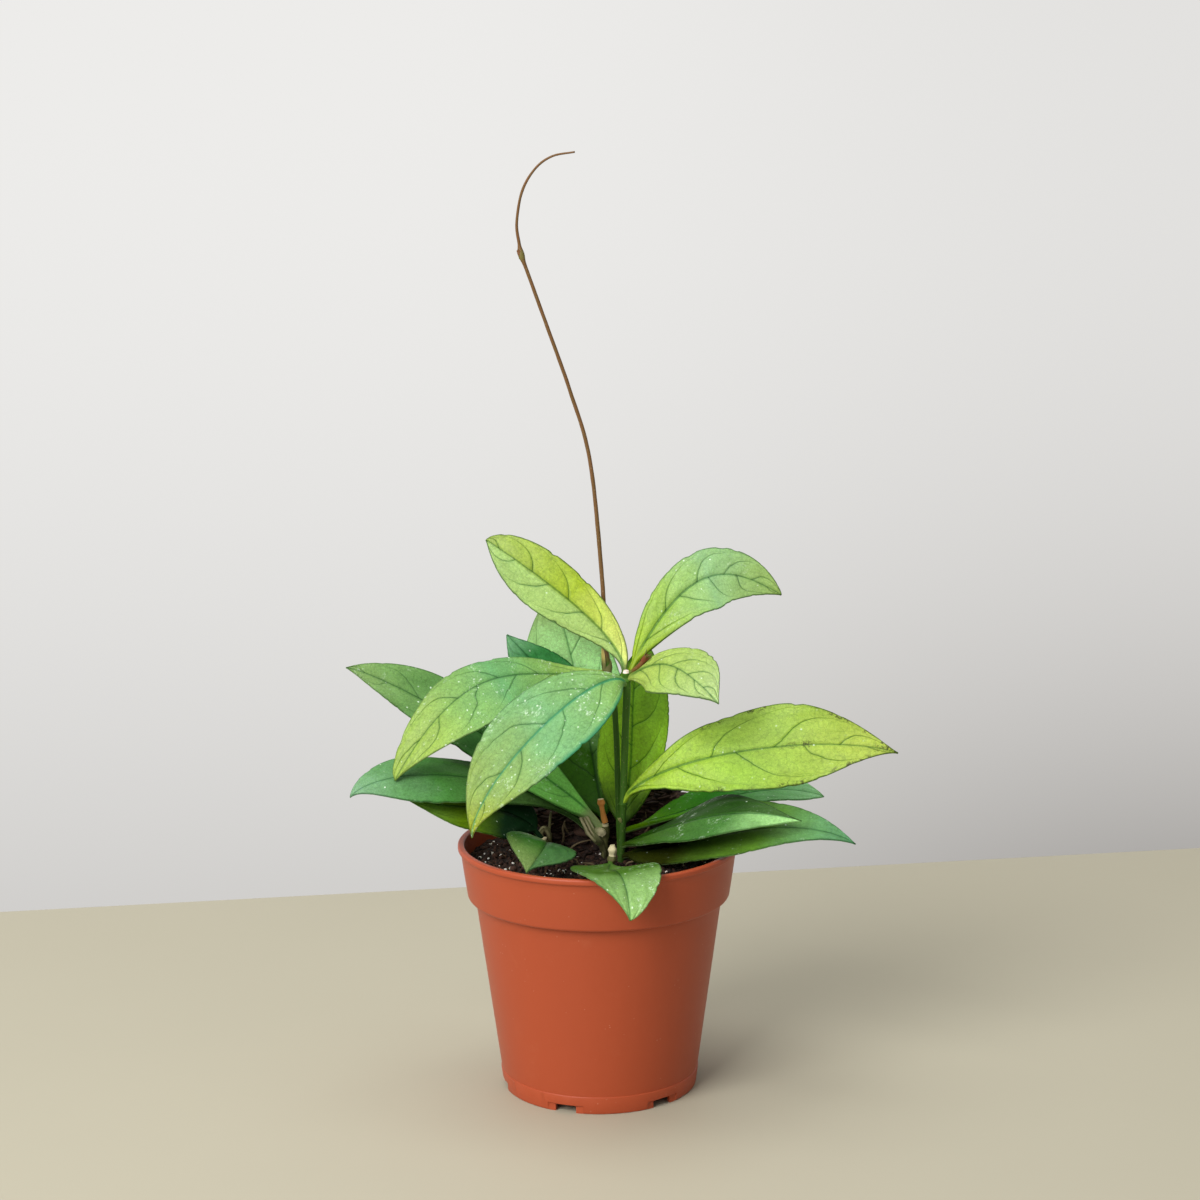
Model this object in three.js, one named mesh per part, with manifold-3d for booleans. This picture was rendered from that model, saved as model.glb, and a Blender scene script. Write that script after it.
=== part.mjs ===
// A young hoya in a plastic nursery pot: long lance-shaped leaves on short stems, an upright cut stem,
// and a long thin leafless runner that arches over at its tip. Millimetres, +Z up, with the origin at
// the middle of the pot's underside, +X to the right and +Y to the back.
import * as THREE from 'three';
import { mergeVertices } from 'three/addons/utils/BufferGeometryUtils.js';
import Module from 'manifold-3d';

const wasm = await Module();
wasm.setup();

// Gap kept between pieces that touch on the real plant.
const CLEARANCE = 0.3;

// The pot. Radii are to the axis, heights are above the surface that it stands on.
const POT_SIDES = 48;
const RIM_RADIUS = 52.5;
const POT_HEIGHT = 93.5;
const LIP_HEIGHT = 2.2;
const BAND_TOP_RADIUS = 51.4;
const BAND_BOTTOM_RADIUS = 49.1;
const BAND_BOTTOM = 73.2;
const BAND_ROUNDING = 1.4;
const BODY_TOP_RADIUS = 46.2;
const BASE_RADIUS = 36.5;
const WALL = 1.4;
const SKIRT_WALL = 1.8;
const PARTING_LINE = 6.6;
const PARTING_STEP = 0.3;
const FLOOR_UNDERSIDE = 3;
const FLOOR_THICKNESS = 1.3;
const FLOOR_CORNER = 2;
const FOOT_RADIUS = 11;
const FOOT_DRAFT = 0.4;
const EDGE_ROUNDING = 0.6;
const ROUNDING_STEPS = 3;

// Six notches in the skirt and six drain holes in the floor.
const NOTCH_COUNT = 6;
const NOTCH_FIRST = -110.6;
const NOTCH_WIDTH = 8;
const NOTCH_TOP = 2.6;
const RECESS_WIDTH = 14;
const RECESS_TOP = 3.2;
const RECESS_DEPTH = 0.7;
const CUTTER_DEPTH = 4;
const DRAIN_RADIUS = 3;
const DRAIN_CIRCLE = 26;
const DRAIN_SIDES = 12;

// The soil, filled to a little below the lip, with broad and fine lumps on its surface.
const SOIL_EDGE = 86.8;
const SOIL_MIDDLE = 85;
const SOIL_GAP = 0.5;
const LUMP_HEIGHT = 0.5;
const BROAD_LUMP = 5;
const FINE_LUMP = 3;
const SOIL_RINGS = 7;
const SOIL_SIDES = 32;

// Leaf blades: how thick they are at the midrib and at the edge, and how finely they are divided.
const BLADE_MIDDLE = 1.5;
const BLADE_EDGE = 0.7;
const BLADE_STEPS = 12;
const BLADE_ACROSS = 6;
const TIP_HALF_WIDTH = 0.5;
const WAVES = 2.5;
const HOOK_POWER = 7;

// A stalk flattens into its blade over this share of the blade, and its sides are this share as thick.
const BLADE_START = 0.2;
const STALK_SIDES = 0.4;

const COLOURS = {
  pot: '#b95839',
  soil: '#2c211b',
  stem: '#7d8a3a',
  olive: '#6f6a35',
  shoot: '#6b4a33',
  stub: '#c07a35',
  bud: '#6e5030',
  young: '#9fc04a',
  fresh: '#86b552',
  mint: '#6fb56a',
  green: '#4f8f45',
  dark: '#2f5f2a',
};

// Each stem runs through points of x, y, z and radius, from its foot in the soil to its end.
const STEMS = [
  {
    name: 'stem_main',
    colour: COLOURS.stem,
    steps: 16,
    points: [
      [8, 0, 72, 1.3], [8.5, 0, 87, 1.4], [9.2, 0, 105, 1.3], [9.3, 0, 107.5, 1.7], [9.4, 0, 110, 1.3],
      [10.3, 0, 135, 1.3], [10.9, 0, 153, 1.4], [11, 0, 157.5, 1.8], [11.1, 0, 161, 1.6],
    ],
    bud: [
      [11.5, -0.8, 158.8, 0.9], [14.3, -1.8, 160.2, 0.9], [16.8, -2.6, 162.2, 1.1], [19.8, -3.4, 166.8, 0.5],
    ],
  },
  {
    name: 'stem_runner',
    colour: COLOURS.shoot,
    steps: 44,
    points: [
      [7.8, 7, 72, 1.1], [8, 6, 90, 1.1], [7.7, 5, 104, 1.1], [6.6, 5, 141, 1.05], [4.2, 5, 156, 1.3],
      [3.4, 5.4, 160.5, 2], [3.1, 6.2, 165, 1.4], [2.9, 7.5, 170, 0.9], [2.1, 9, 191, 0.8],
      [-2, 8, 235, 0.75], [-9.1, 7, 261, 0.7], [-18, 5, 287, 0.65], [-24.3, 4, 305, 0.65],
      [-26.2, 4, 310.5, 1.2], [-27, 4, 315, 0.6], [-27.7, 3, 322, 0.5], [-25.7, 2, 333, 0.5],
      [-21, 1, 341, 0.45], [-14.8, 0, 345.5, 0.4], [-6.6, 0, 347, 0.35],
    ],
  },
  {
    name: 'stem_low_left',
    colour: COLOURS.olive,
    steps: 10,
    points: [
      [1.6, 5, 72, 1.5], [2.2, 5, 86, 1.4], [2.4, 4.8, 91, 1.5], [2.5, 4.6, 95.5, 1.8], [2.7, 4.4, 98.8, 1.5],
    ],
  },
  {
    name: 'stem_low_front_left',
    colour: COLOURS.olive,
    steps: 8,
    points: [[-19.4, 4, 74, 1.2], [-19.8, 3.6, 86, 1.3], [-20, 3, 91, 1.5], [-20.4, 2.4, 94, 1]],
  },
  {
    name: 'stem_low_front',
    colour: COLOURS.olive,
    steps: 10,
    points: [
      [4.6, -11, 74, 1.2], [4.6, -11, 85, 1.2], [4.9, -11, 87.4, 1], [5, -11, 89.3, 1.5], [5.2, -11, 91.1, 1.1],
      [5.3, -11, 93, 1.6], [5.3, -11, 94.8, 0.9],
    ],
  },
  {
    name: 'stub_dried',
    colour: COLOURS.stub,
    steps: 8,
    points: [
      [2.7, 4.4, 99.7, 1.2], [1.9, 4.2, 103, 1.05], [1.3, 4, 106, 1.2], [1.1, 4, 107.8, 1.5], [0.9, 4, 108.8, 1],
    ],
  },
];
const STEM_SIDES = 10;
const BUD_STEPS = 5;

// Each leaf's midrib runs through four points: on its stem, at one third, at two thirds and at its tip.
// "face" is the way that the upper side looks, at the stem and at the tip. "stalk" is the stalk's share
// of the length. "edges" holds, for each side of the midrib, the widest half width and the two powers with
// which it grows from the stalk and shrinks to the tip. "fold" is how far the halves are raised along the
// midrib, as a share of the half width, "wave" how far the edge waves and "hook" how far the very tip
// bends sideways.
const LEAVES = [
  {
    name: 'leaf_top_left',
    stem: 'stem_main',
    colour: COLOURS.young,
    midrib: [[10.2, 0, 157.5], [-0.2, 3, 174.9], [-21.3, 8, 192.4], [-40.6, 15, 205.7]],
    face: [[-0.1, -1, 0.5], [-0.1, -1, 0.5]],
    edges: [[10.3, 1.05, 0.65], [11.5, 1.9, 1.25]],
    stalk: 0.03, stalkRadius: 1.1, fold: 0.08, wave: 0.4, hook: 0.6,
  },
  {
    name: 'leaf_top_right',
    stem: 'stem_main',
    colour: COLOURS.young,
    midrib: [[12, 0.8, 157.5], [32.5, 9.6, 186], [50.5, 11, 192], [68.8, 9, 185]],
    face: [[-0.3, -1, 0.5], [-0.15, -1, 0.6]],
    edges: [[14.5, 0.95, 1.1], [11, 0.75, 0.85]],
    stalk: 0.03, stalkRadius: 1.1, fold: 0.06, wave: 0.4, hook: -0.4,
  },
  {
    name: 'leaf_top_small',
    stem: 'stem_main',
    colour: COLOURS.young,
    midrib: [[11.4, -1.2, 155], [24, -13.5, 163.2], [34.1, -23, 160.4], [45, -30, 154.2]],
    face: [[0, -1, 0.8], [0, -0.7, 0.9]],
    edges: [[13.6, 0.75, 1.6], [13.2, 1, 1.2]],
    stalk: 0.02, stalkRadius: 1.1, fold: -0.05, wave: 0.3, hook: -3,
  },
  {
    name: 'leaf_front_left_big',
    stem: 'stem_main',
    colour: COLOURS.mint,
    midrib: [[11, 0, 152.2], [-6.5, -14, 151.8], [-32.3, -28, 129.7], [-45, -42, 106.6]],
    face: [[-0.3, -1, 0.6], [-0.3, -1, 0.5]],
    edges: [[16, 2, 1.8], [16.6, 1.25, 1.5]],
    stalk: 0.03, stalkRadius: 1.2, fold: 0.06, wave: 0.6,
  },
  {
    name: 'leaf_left_arched',
    stem: 'stem_runner',
    colour: COLOURS.fresh,
    midrib: [[3.6, 5, 159], [-25, 5, 156.1], [-48.6, -3, 151], [-75.8, -13, 121.4]],
    face: [[-0.1, -0.6, 1], [-0.2, -0.9, 0.8]],
    edges: [[10.5, 0.95, 0.56], [17.8, 2.3, 1.3]],
    stalk: 0.03, stalkRadius: 1.2, fold: 0.06, wave: 0.6, hook: 1.9,
  },
  {
    name: 'leaf_far_left',
    stem: 'stem_low_left',
    colour: COLOURS.green,
    midrib: [[0.9, 4.8, 95.9], [-23.3, 10, 118.1], [-64, 18, 142.5], [-93.9, 14, 156.5]],
    face: [[0.2, -0.8, 0.8], [0.2, -0.8, 0.8]],
    edges: [[12.7, 1.65, 1.4], [11.8, 0.9, 1.1]],
    stalk: 0.1, stalkRadius: 1.7, fold: 0.15, wave: 0.5, hook: -0.8,
  },
  {
    name: 'leaf_low_left',
    stem: 'stem_low_left',
    colour: COLOURS.green,
    midrib: [[0.9, 4, 91], [-28.5, 4, 112], [-65.5, -8, 121.1], [-91, -15, 115.1]],
    face: [[0, -0.5, 1], [0, -0.5, 1]],
    edges: [[13.5, 1.3, 0.95], [13.9, 2.3, 1.75]],
    stalk: 0.08, stalkRadius: 1.3, fold: -0.15, wave: 0.5, hook: 0.7,
  },
  {
    name: 'leaf_low_left_dark',
    stem: 'stem_low_front_left',
    colour: COLOURS.dark,
    midrib: [[-20, 3, 91.5], [-33.8, 1, 104], [-50.9, -5, 108.3], [-71.5, -8, 113.3]],
    face: [[0, -0.6, 1], [0, -0.6, 1]],
    edges: [[14.1, 0.7, 1.25], [15.6, 1, 1.45]],
    stalk: 0.1, stalkRadius: 1, fold: 0.06, wave: 0.3, hook: 0.6,
  },
  {
    name: 'leaf_small_front_left',
    stem: 'stem_low_front_left',
    colour: COLOURS.green,
    midrib: [[-20, 3, 89], [-18.9, -16, 97.1], [-20.9, -29, 97.1], [-26.7, -38, 92.9]],
    face: [[0.3, -0.2, 1], [0.3, -0.2, 1]],
    edges: [[14.4, 1.65, 1.15], [12, 2.3, 2.2]],
    stalk: 0.05, stalkRadius: 1, fold: 0.1, wave: 0.2, hook: 1.1,
  },
  {
    name: 'leaf_over_rim',
    stem: 'stem_low_front',
    colour: COLOURS.fresh,
    midrib: [[4.6, -11, 88], [4.5, -32, 91.2], [8, -51, 94.4], [11, -63, 82]],
    face: [[0.03, -0.2, 1], [0.03, -0.4, 1]],
    edges: [[15.6, 1, 1.3], [16, 0.8, 1]],
    stalk: 0.05, stalkRadius: 1.1, fold: 0.04, wave: 0.2,
  },
  {
    name: 'leaf_right_big',
    stem: 'stem_main',
    colour: COLOURS.young,
    midrib: [[9.3, 0, 108], [32.3, -4, 123.5], [72.1, -10, 131.9], [110, -16, 132]],
    face: [[-0.2, -1, 0.7], [0, -1, 0.6]],
    edges: [[16.5, 2, 1.6], [16.3, 2.15, 1.5]],
    stalk: 0.03, stalkRadius: 1.2, fold: 0.06, wave: -2, hook: -1.9,
  },
  {
    name: 'leaf_low_right_front',
    stem: 'stem_main',
    colour: COLOURS.green,
    midrib: [[8.6, 0, 91.2], [26, -12, 101.3], [48, -24, 109.6], [72, -34, 107.8]],
    face: [[0, -0.15, 1], [0, -0.5, 1]],
    edges: [[12.5, 1.1, 1.1], [19, 1.3, 1.7]],
    stalk: 0.04, stalkRadius: 1.1, fold: -0.1, wave: 0.4, hook: 3,
  },
  {
    name: 'leaf_low_right_dark',
    stem: 'stem_main',
    colour: COLOURS.dark,
    midrib: [[8.5, 0, 87.3], [35.1, -12, 96.6], [65.7, -22, 103.9], [93.5, -28, 99.8]],
    face: [[0, -0.5, 1], [0, -0.5, 1]],
    edges: [[14, 0.85, 1.25], [15.5, 1.1, 1.35]],
    stalk: 0.04, stalkRadius: 1.1, fold: 0.08, wave: 0.4, hook: -0.8,
  },
  {
    name: 'leaf_low_right_back',
    stem: 'stem_main',
    colour: COLOURS.green,
    midrib: [[8.9, 0, 97], [34.3, 12, 101.9], [60.4, 16, 107.6], [86.1, 20, 104.4]],
    face: [[0, -0.05, 1], [0, -0.25, 1]],
    edges: [[12, 1.6, 0.9], [16.6, 1.2, 0.95]],
    stalk: 0.1, stalkRadius: 1.1, fold: 0.08, wave: 0.4,
  },
  {
    name: 'leaf_tall_back_left',
    stem: 'stem_low_left',
    colour: COLOURS.mint,
    midrib: [[3, 5.2, 93.5], [-2.8, 28, 123.1], [-9.4, 33, 155.1], [-17, 36, 182.7]],
    face: [[0, -1, 0.2], [0, -1, 0.2]],
    edges: [[17, 0.7, 0.8], [22.5, 0.75, 0.9]],
    stalk: 0.08, stalkRadius: 1.3, fold: 0.08, wave: 0.5,
  },
  {
    name: 'leaf_small_back_left',
    stem: 'stem_runner',
    colour: COLOURS.dark,
    midrib: [[5.4, 5, 150], [-9, 14, 147.5], [-21, 18.6, 155], [-34.4, 21, 167.6]],
    face: [[0, -1, 0.4], [0, -1, 0.4]],
    edges: [[9, 1.2, 1.2], [11, 1.4, 1]],
    stalk: 0.1, stalkRadius: 1, fold: 0.06, wave: 0.3, hook: -0.7,
  },
  {
    name: 'leaf_tall_back_right',
    stem: 'stem_runner',
    colour: COLOURS.green,
    midrib: [[8, 6.2, 95], [12.5, 14, 120.2], [13.7, 18, 145.5], [18.7, 22, 169.1]],
    face: [[0, -1, 0.1], [0, -1, 0.1]],
    edges: [[13.8, 0.9, 0.8], [13, 0.8, 0.9]],
    stalk: 0.04, stalkRadius: 1.2, fold: 0.08, wave: 0.4,
  },
];

// A closed geometry as a solid that can be cut.
function solidOf(geometry) {
  const bare = new THREE.BufferGeometry();
  bare.setAttribute('position', geometry.getAttribute('position'));
  bare.setIndex(geometry.getIndex());
  const merged = mergeVertices(bare, 1e-4);
  return new wasm.Manifold(new wasm.Mesh({
    numProp: 3,
    vertProperties: new Float32Array(merged.getAttribute('position').array),
    triVerts: new Uint32Array(merged.getIndex().array),
  }));
}

function geometryOf(solid) {
  const mesh = solid.getMesh();
  const geometry = new THREE.BufferGeometry();
  geometry.setAttribute('position', new THREE.BufferAttribute(new Float32Array(mesh.vertProperties), 3));
  geometry.setIndex(new THREE.BufferAttribute(new Uint32Array(mesh.triVerts), 1));
  return geometry;
}

function meshOf(name, colour, roughness, geometry) {
  geometry.computeVertexNormals();
  const material = new THREE.MeshStandardMaterial({ color: colour, roughness, metalness: 0 });
  const mesh = new THREE.Mesh(geometry, material);
  mesh.name = name;
  return mesh;
}

// A profile of [radius, height] points spun about the Z axis.
function turned(profile, sides) {
  const points = profile.map(([radius, height]) => new THREE.Vector2(radius, height));
  return new THREE.LatheGeometry(points, sides).rotateX(Math.PI / 2);
}

// Rings with the same number of points, joined into one closed skin with a fan over each end.
// "flipFrom" is the point of a ring from which the squares are split the other way.
function skinned(rings, flipFrom = Infinity) {
  const count = rings[0].length;
  const positions = rings.flat().flatMap((point) => point.toArray());
  const faces = [];
  for (let i = 0; i < rings.length - 1; i += 1) {
    for (let k = 0; k < count; k += 1) {
      const next = (k + 1) % count;
      const a = i * count + k;
      const b = i * count + next;
      const c = (i + 1) * count + next;
      const d = (i + 1) * count + k;
      if (k < flipFrom) faces.push(a, c, b, a, d, c);
      else faces.push(a, d, b, b, d, c);
    }
  }
  for (const [ring, isStart] of [[0, true], [rings.length - 1, false]]) {
    const middle = new THREE.Vector3();
    for (const point of rings[ring]) middle.addScaledVector(point, 1 / count);
    const hub = positions.length / 3;
    positions.push(...middle.toArray());
    for (let k = 0; k < count; k += 1) {
      const a = ring * count + k;
      const b = ring * count + ((k + 1) % count);
      if (isStart) faces.push(hub, a, b);
      else faces.push(hub, b, a);
    }
  }
  const geometry = new THREE.BufferGeometry();
  geometry.setAttribute('position', new THREE.Float32BufferAttribute(positions, 3));
  geometry.setIndex(faces);
  return geometry;
}

// A round shoot along its points, thicker by "extra" and longer by as much at both ends.
function shootSolid(points, steps, extra) {
  const path = new THREE.CatmullRomCurve3(points.map(([x, y, z]) => new THREE.Vector3(x, y, z)));
  const last = points.length - 1;
  const side = new THREE.Vector3(0, 1, 0);
  const rings = [];
  for (let i = 0; i <= steps; i += 1) {
    const t = i / steps;
    const at = Math.min(Math.floor(t * last), last - 1);
    const radius = THREE.MathUtils.lerp(points[at][3], points[at + 1][3], t * last - at) + extra;
    const centre = path.getPoint(t);
    const along = path.getTangent(t);
    if (i === 0) centre.addScaledVector(along, -extra);
    if (i === steps) centre.addScaledVector(along, extra);
    const u = new THREE.Vector3().crossVectors(side, along).normalize();
    const v = new THREE.Vector3().crossVectors(along, u);
    const ring = [];
    for (let k = 0; k < STEM_SIDES; k += 1) {
      const angle = (2 * Math.PI * k) / STEM_SIDES;
      ring.push(centre.clone()
        .addScaledVector(u, radius * Math.cos(angle))
        .addScaledVector(v, -radius * Math.sin(angle)));
    }
    rings.push(ring);
  }
  return solidOf(skinned(rings));
}

// A stem with the bud that grows from it.
function stemSolid(stem, extra = 0) {
  const shoot = shootSolid(stem.points, stem.steps, extra);
  return stem.bud ? shoot.add(shootSolid(stem.bud, BUD_STEPS, extra)) : shoot;
}

// The one cubic curve through four evenly spaced points.
function cubicThrough(points, t) {
  const weights = [
    -4.5 * (t - 1 / 3) * (t - 2 / 3) * (t - 1),
    13.5 * t * (t - 2 / 3) * (t - 1),
    -13.5 * t * (t - 1 / 3) * (t - 1),
    4.5 * t * (t - 1 / 3) * (t - 2 / 3),
  ];
  const result = new THREE.Vector3();
  points.forEach((point, i) => result.addScaledVector(new THREE.Vector3(...point), weights[i]));
  return result;
}

// The half width of a blade at u, from 0 at its base to 1 at its tip, as a share of its widest.
function outline(u, rise, fall) {
  const widest = rise / (rise + fall);
  return (u / widest) ** rise * ((1 - u) / (1 - widest)) ** fall;
}

// A leaf with its stalk as one closed skin: an upper and a lower face, split alike.
function leafSolid(leaf) {
  const rings = [];
  for (let i = 0; i <= BLADE_STEPS; i += 1) {
    const t = i / BLADE_STEPS;
    const u = Math.max(0, (t - leaf.stalk) / (1 - leaf.stalk));
    const centre = cubicThrough(leaf.midrib, t);
    const step = 0.001;
    const along = cubicThrough(leaf.midrib, t + step).sub(cubicThrough(leaf.midrib, t - step)).normalize();
    const face = new THREE.Vector3(...leaf.face[0]).lerp(new THREE.Vector3(...leaf.face[1]), t);
    const up = face.addScaledVector(along, -face.dot(along)).normalize();
    const across = new THREE.Vector3().crossVectors(up, along);
    const base = THREE.MathUtils.lerp(leaf.stalkRadius, TIP_HALF_WIDTH, t);
    const blade = THREE.MathUtils.smoothstep(u, 0, BLADE_START);
    const rib = THREE.MathUtils.lerp(BLADE_MIDDLE, BLADE_EDGE, t) / 2;
    const middle = THREE.MathUtils.lerp(leaf.stalkRadius, rib, blade);
    const edge = THREE.MathUtils.lerp(leaf.stalkRadius * STALK_SIDES, BLADE_EDGE / 2, blade);
    const bend = (leaf.hook ?? 0) * t ** HOOK_POWER;
    const upper = [];
    const lower = [];
    for (let k = 0; k <= BLADE_ACROSS; k += 1) {
      const v = (2 * k) / BLADE_ACROSS - 1;
      const [reach, rise, fall] = leaf.edges[v > 0 ? 1 : 0];
      const spread = outline(u, rise, fall);
      const halfWidth = base + (reach - base) * spread;
      const raise = leaf.fold * halfWidth * Math.abs(v) * blade
        + leaf.wave * v * Math.abs(v) * spread * Math.sin(2 * Math.PI * WAVES * u);
      const half = edge + (middle - edge) * Math.sqrt(1 - v * v);
      const point = centre.clone().addScaledVector(across, halfWidth * v + bend);
      upper.push(point.clone().addScaledVector(up, raise + half));
      lower.push(point.clone().addScaledVector(up, raise - half));
    }
    rings.push([...upper, ...lower.reverse()]);
  }
  return solidOf(skinned(rings, BLADE_ACROSS + 1));
}

// The pot's outer radius at a height, on the tapered body and on the band under the lip.
function bodyAt(height) {
  return BASE_RADIUS + ((BODY_TOP_RADIUS - BASE_RADIUS) * height) / BAND_BOTTOM;
}

function bandAt(height) {
  const share = (height - BAND_BOTTOM) / (POT_HEIGHT - LIP_HEIGHT - BAND_BOTTOM);
  return THREE.MathUtils.lerp(BAND_BOTTOM_RADIUS, BAND_TOP_RADIUS, share);
}

// A quarter round from an underside out and up to a side, as points of radius and height.
function roundedUnder(radius, height, size) {
  const points = [];
  for (let i = 0; i <= ROUNDING_STEPS; i += 1) {
    const angle = (Math.PI / 2) * (i / ROUNDING_STEPS);
    points.push([radius - size * (1 - Math.sin(angle)), height + size * (1 - Math.cos(angle))]);
  }
  return points;
}

// The pot's wall and floor as one turned profile, from the foot out and up to the lip and back inside.
function potProfile() {
  const lipBottom = POT_HEIGHT - LIP_HEIGHT;
  const skirtInside = BASE_RADIUS - SKIRT_WALL;
  const floorTop = FLOOR_UNDERSIDE + FLOOR_THICKNESS;
  return [
    [0, 0],
    [FOOT_RADIUS, 0],
    [FOOT_RADIUS + FOOT_DRAFT, FLOOR_UNDERSIDE],
    [skirtInside + FOOT_DRAFT, FLOOR_UNDERSIDE],
    [skirtInside, 0],
    [BASE_RADIUS - EDGE_ROUNDING, 0],
    [bodyAt(EDGE_ROUNDING), EDGE_ROUNDING],
    [bodyAt(PARTING_LINE), PARTING_LINE],
    [bodyAt(PARTING_LINE) - PARTING_STEP, PARTING_LINE + PARTING_STEP],
    [BODY_TOP_RADIUS, BAND_BOTTOM],
    ...roundedUnder(BAND_BOTTOM_RADIUS, BAND_BOTTOM, BAND_ROUNDING),
    [BAND_TOP_RADIUS, lipBottom],
    [RIM_RADIUS, lipBottom + EDGE_ROUNDING],
    [RIM_RADIUS, POT_HEIGHT - EDGE_ROUNDING],
    [RIM_RADIUS - EDGE_ROUNDING, POT_HEIGHT],
    [BAND_TOP_RADIUS - WALL, POT_HEIGHT],
    [bandAt(BAND_BOTTOM + WALL) - WALL, BAND_BOTTOM + WALL],
    [bodyAt(BAND_BOTTOM - WALL) - WALL, BAND_BOTTOM - WALL],
    [bodyAt(floorTop + FLOOR_CORNER) - WALL, floorTop + FLOOR_CORNER],
    [bodyAt(floorTop) - WALL - FLOOR_CORNER, floorTop],
    [0, floorTop],
  ];
}

// A box that cuts the skirt from below, up to a height, with its inner face at that radius.
function skirtCutter(width, top, radius, angle) {
  const box = new THREE.BoxGeometry(CUTTER_DEPTH, width, 2 * top);
  box.translate(radius + CUTTER_DEPTH / 2, 0, 0);
  box.rotateZ(THREE.MathUtils.degToRad(angle));
  return solidOf(box);
}

function pot() {
  let solid = solidOf(turned(potProfile(), POT_SIDES));
  for (let i = 0; i < NOTCH_COUNT; i += 1) {
    const angle = NOTCH_FIRST + (360 / NOTCH_COUNT) * i;
    solid = solid.subtract(skirtCutter(NOTCH_WIDTH, NOTCH_TOP, BASE_RADIUS - 1.5 * SKIRT_WALL, angle));
    solid = solid.subtract(skirtCutter(RECESS_WIDTH, RECESS_TOP, BASE_RADIUS - RECESS_DEPTH, angle));
    const drain = new THREE.CylinderGeometry(DRAIN_RADIUS, DRAIN_RADIUS, 3 * FLOOR_THICKNESS, DRAIN_SIDES);
    drain.rotateX(Math.PI / 2);
    drain.translate(DRAIN_CIRCLE, 0, FLOOR_UNDERSIDE + FLOOR_THICKNESS / 2);
    drain.rotateZ(THREE.MathUtils.degToRad(angle));
    solid = solid.subtract(solidOf(drain));
  }
  return meshOf('pot', COLOURS.pot, 0.45, geometryOf(solid));
}

// How high the soil lies at a place: a shallow dish with low lumps.
function soilHeight(x, y) {
  const out = Math.hypot(x, y) / BAND_TOP_RADIUS;
  const dish = THREE.MathUtils.lerp(SOIL_MIDDLE, SOIL_EDGE, out * out);
  const broad = Math.sin(x / BROAD_LUMP) * Math.cos(y / BROAD_LUMP);
  const fine = Math.sin((x - y) / FINE_LUMP) / 2;
  return dish + LUMP_HEIGHT * (broad + fine);
}

function soil(cutters) {
  const foot = FLOOR_UNDERSIDE + FLOOR_THICKNESS + CLEARANCE;
  const inset = WALL + SOIL_GAP;
  const topRadius = bandAt(SOIL_MIDDLE) - inset;
  const profile = [
    [0, foot],
    [bodyAt(foot) - inset - FLOOR_CORNER, foot],
    [bodyAt(foot + FLOOR_CORNER) - inset, foot + FLOOR_CORNER],
    [bodyAt(BAND_BOTTOM - WALL) - inset, BAND_BOTTOM - WALL + CLEARANCE],
    [bandAt(BAND_BOTTOM + WALL) - inset, BAND_BOTTOM + 2 * WALL],
    [topRadius, SOIL_MIDDLE],
  ];
  for (let i = SOIL_RINGS - 1; i >= 0; i -= 1) profile.push([(topRadius * i) / SOIL_RINGS, SOIL_MIDDLE]);
  const geometry = turned(profile, SOIL_SIDES);
  const place = geometry.getAttribute('position');
  for (let i = 0; i < place.count; i += 1) {
    if (place.getZ(i) > SOIL_MIDDLE - 0.01) place.setZ(i, soilHeight(place.getX(i), place.getY(i)));
  }
  let solid = solidOf(geometry);
  for (const cutter of cutters) solid = solid.subtract(cutter);
  return meshOf('soil', COLOURS.soil, 0.95, geometryOf(solid));
}

const plant = new THREE.Group();
const cutters = Object.fromEntries(STEMS.map((stem) => [stem.name, stemSolid(stem, CLEARANCE)]));
plant.add(pot());
plant.add(soil(STEMS.filter((stem) => stem.points[0][2] < SOIL_MIDDLE).map((stem) => cutters[stem.name])));
for (const stem of STEMS) plant.add(meshOf(stem.name, stem.colour, 0.6, geometryOf(stemSolid(stem))));
for (const leaf of LEAVES) {
  const blade = leafSolid(leaf).subtract(cutters[leaf.stem]);
  plant.add(meshOf(leaf.name, leaf.colour, 0.5, geometryOf(blade)));
}

export default plant;
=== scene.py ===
"""The looks of a young potted hoya, built in Blender 4.5 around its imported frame.

The scene is laid out as an add-on: each operator models one piece or one group of like pieces, the
settings hold the sizes and colours to change, and the panel lists it all. Lengths in the settings are
in metres; the tables of the leaves and shoots are in millimetres, in the frame's own axes.
"""

import math
import random

import bpy
import numpy as np
from mathutils import Matrix, Vector, noise


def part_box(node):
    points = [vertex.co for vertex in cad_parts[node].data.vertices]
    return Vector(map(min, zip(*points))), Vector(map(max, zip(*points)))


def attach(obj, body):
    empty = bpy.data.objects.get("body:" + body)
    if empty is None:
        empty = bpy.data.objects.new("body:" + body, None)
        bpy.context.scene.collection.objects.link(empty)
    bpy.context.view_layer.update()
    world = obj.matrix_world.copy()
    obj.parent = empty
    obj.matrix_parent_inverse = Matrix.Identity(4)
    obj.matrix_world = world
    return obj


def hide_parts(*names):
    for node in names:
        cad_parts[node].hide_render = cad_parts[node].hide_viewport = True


bl_info = {
    "name": "Potted Hoya",
    "version": (1, 0, 0),
    "blender": (4, 5, 0),
    "location": "View3D > Sidebar > Hoya",
    "description": "Models the pot, soil, stems and leaves of a young hoya around its frame",
    "category": "Object",
}

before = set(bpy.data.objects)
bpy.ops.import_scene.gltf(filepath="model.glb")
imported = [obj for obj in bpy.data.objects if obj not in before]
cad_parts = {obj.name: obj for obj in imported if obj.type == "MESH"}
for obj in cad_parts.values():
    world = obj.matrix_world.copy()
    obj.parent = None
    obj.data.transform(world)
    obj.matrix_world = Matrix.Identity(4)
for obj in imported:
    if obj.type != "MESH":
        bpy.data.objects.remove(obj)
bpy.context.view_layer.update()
POT_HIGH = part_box("pot")[1]

MM = 0.001

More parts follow.
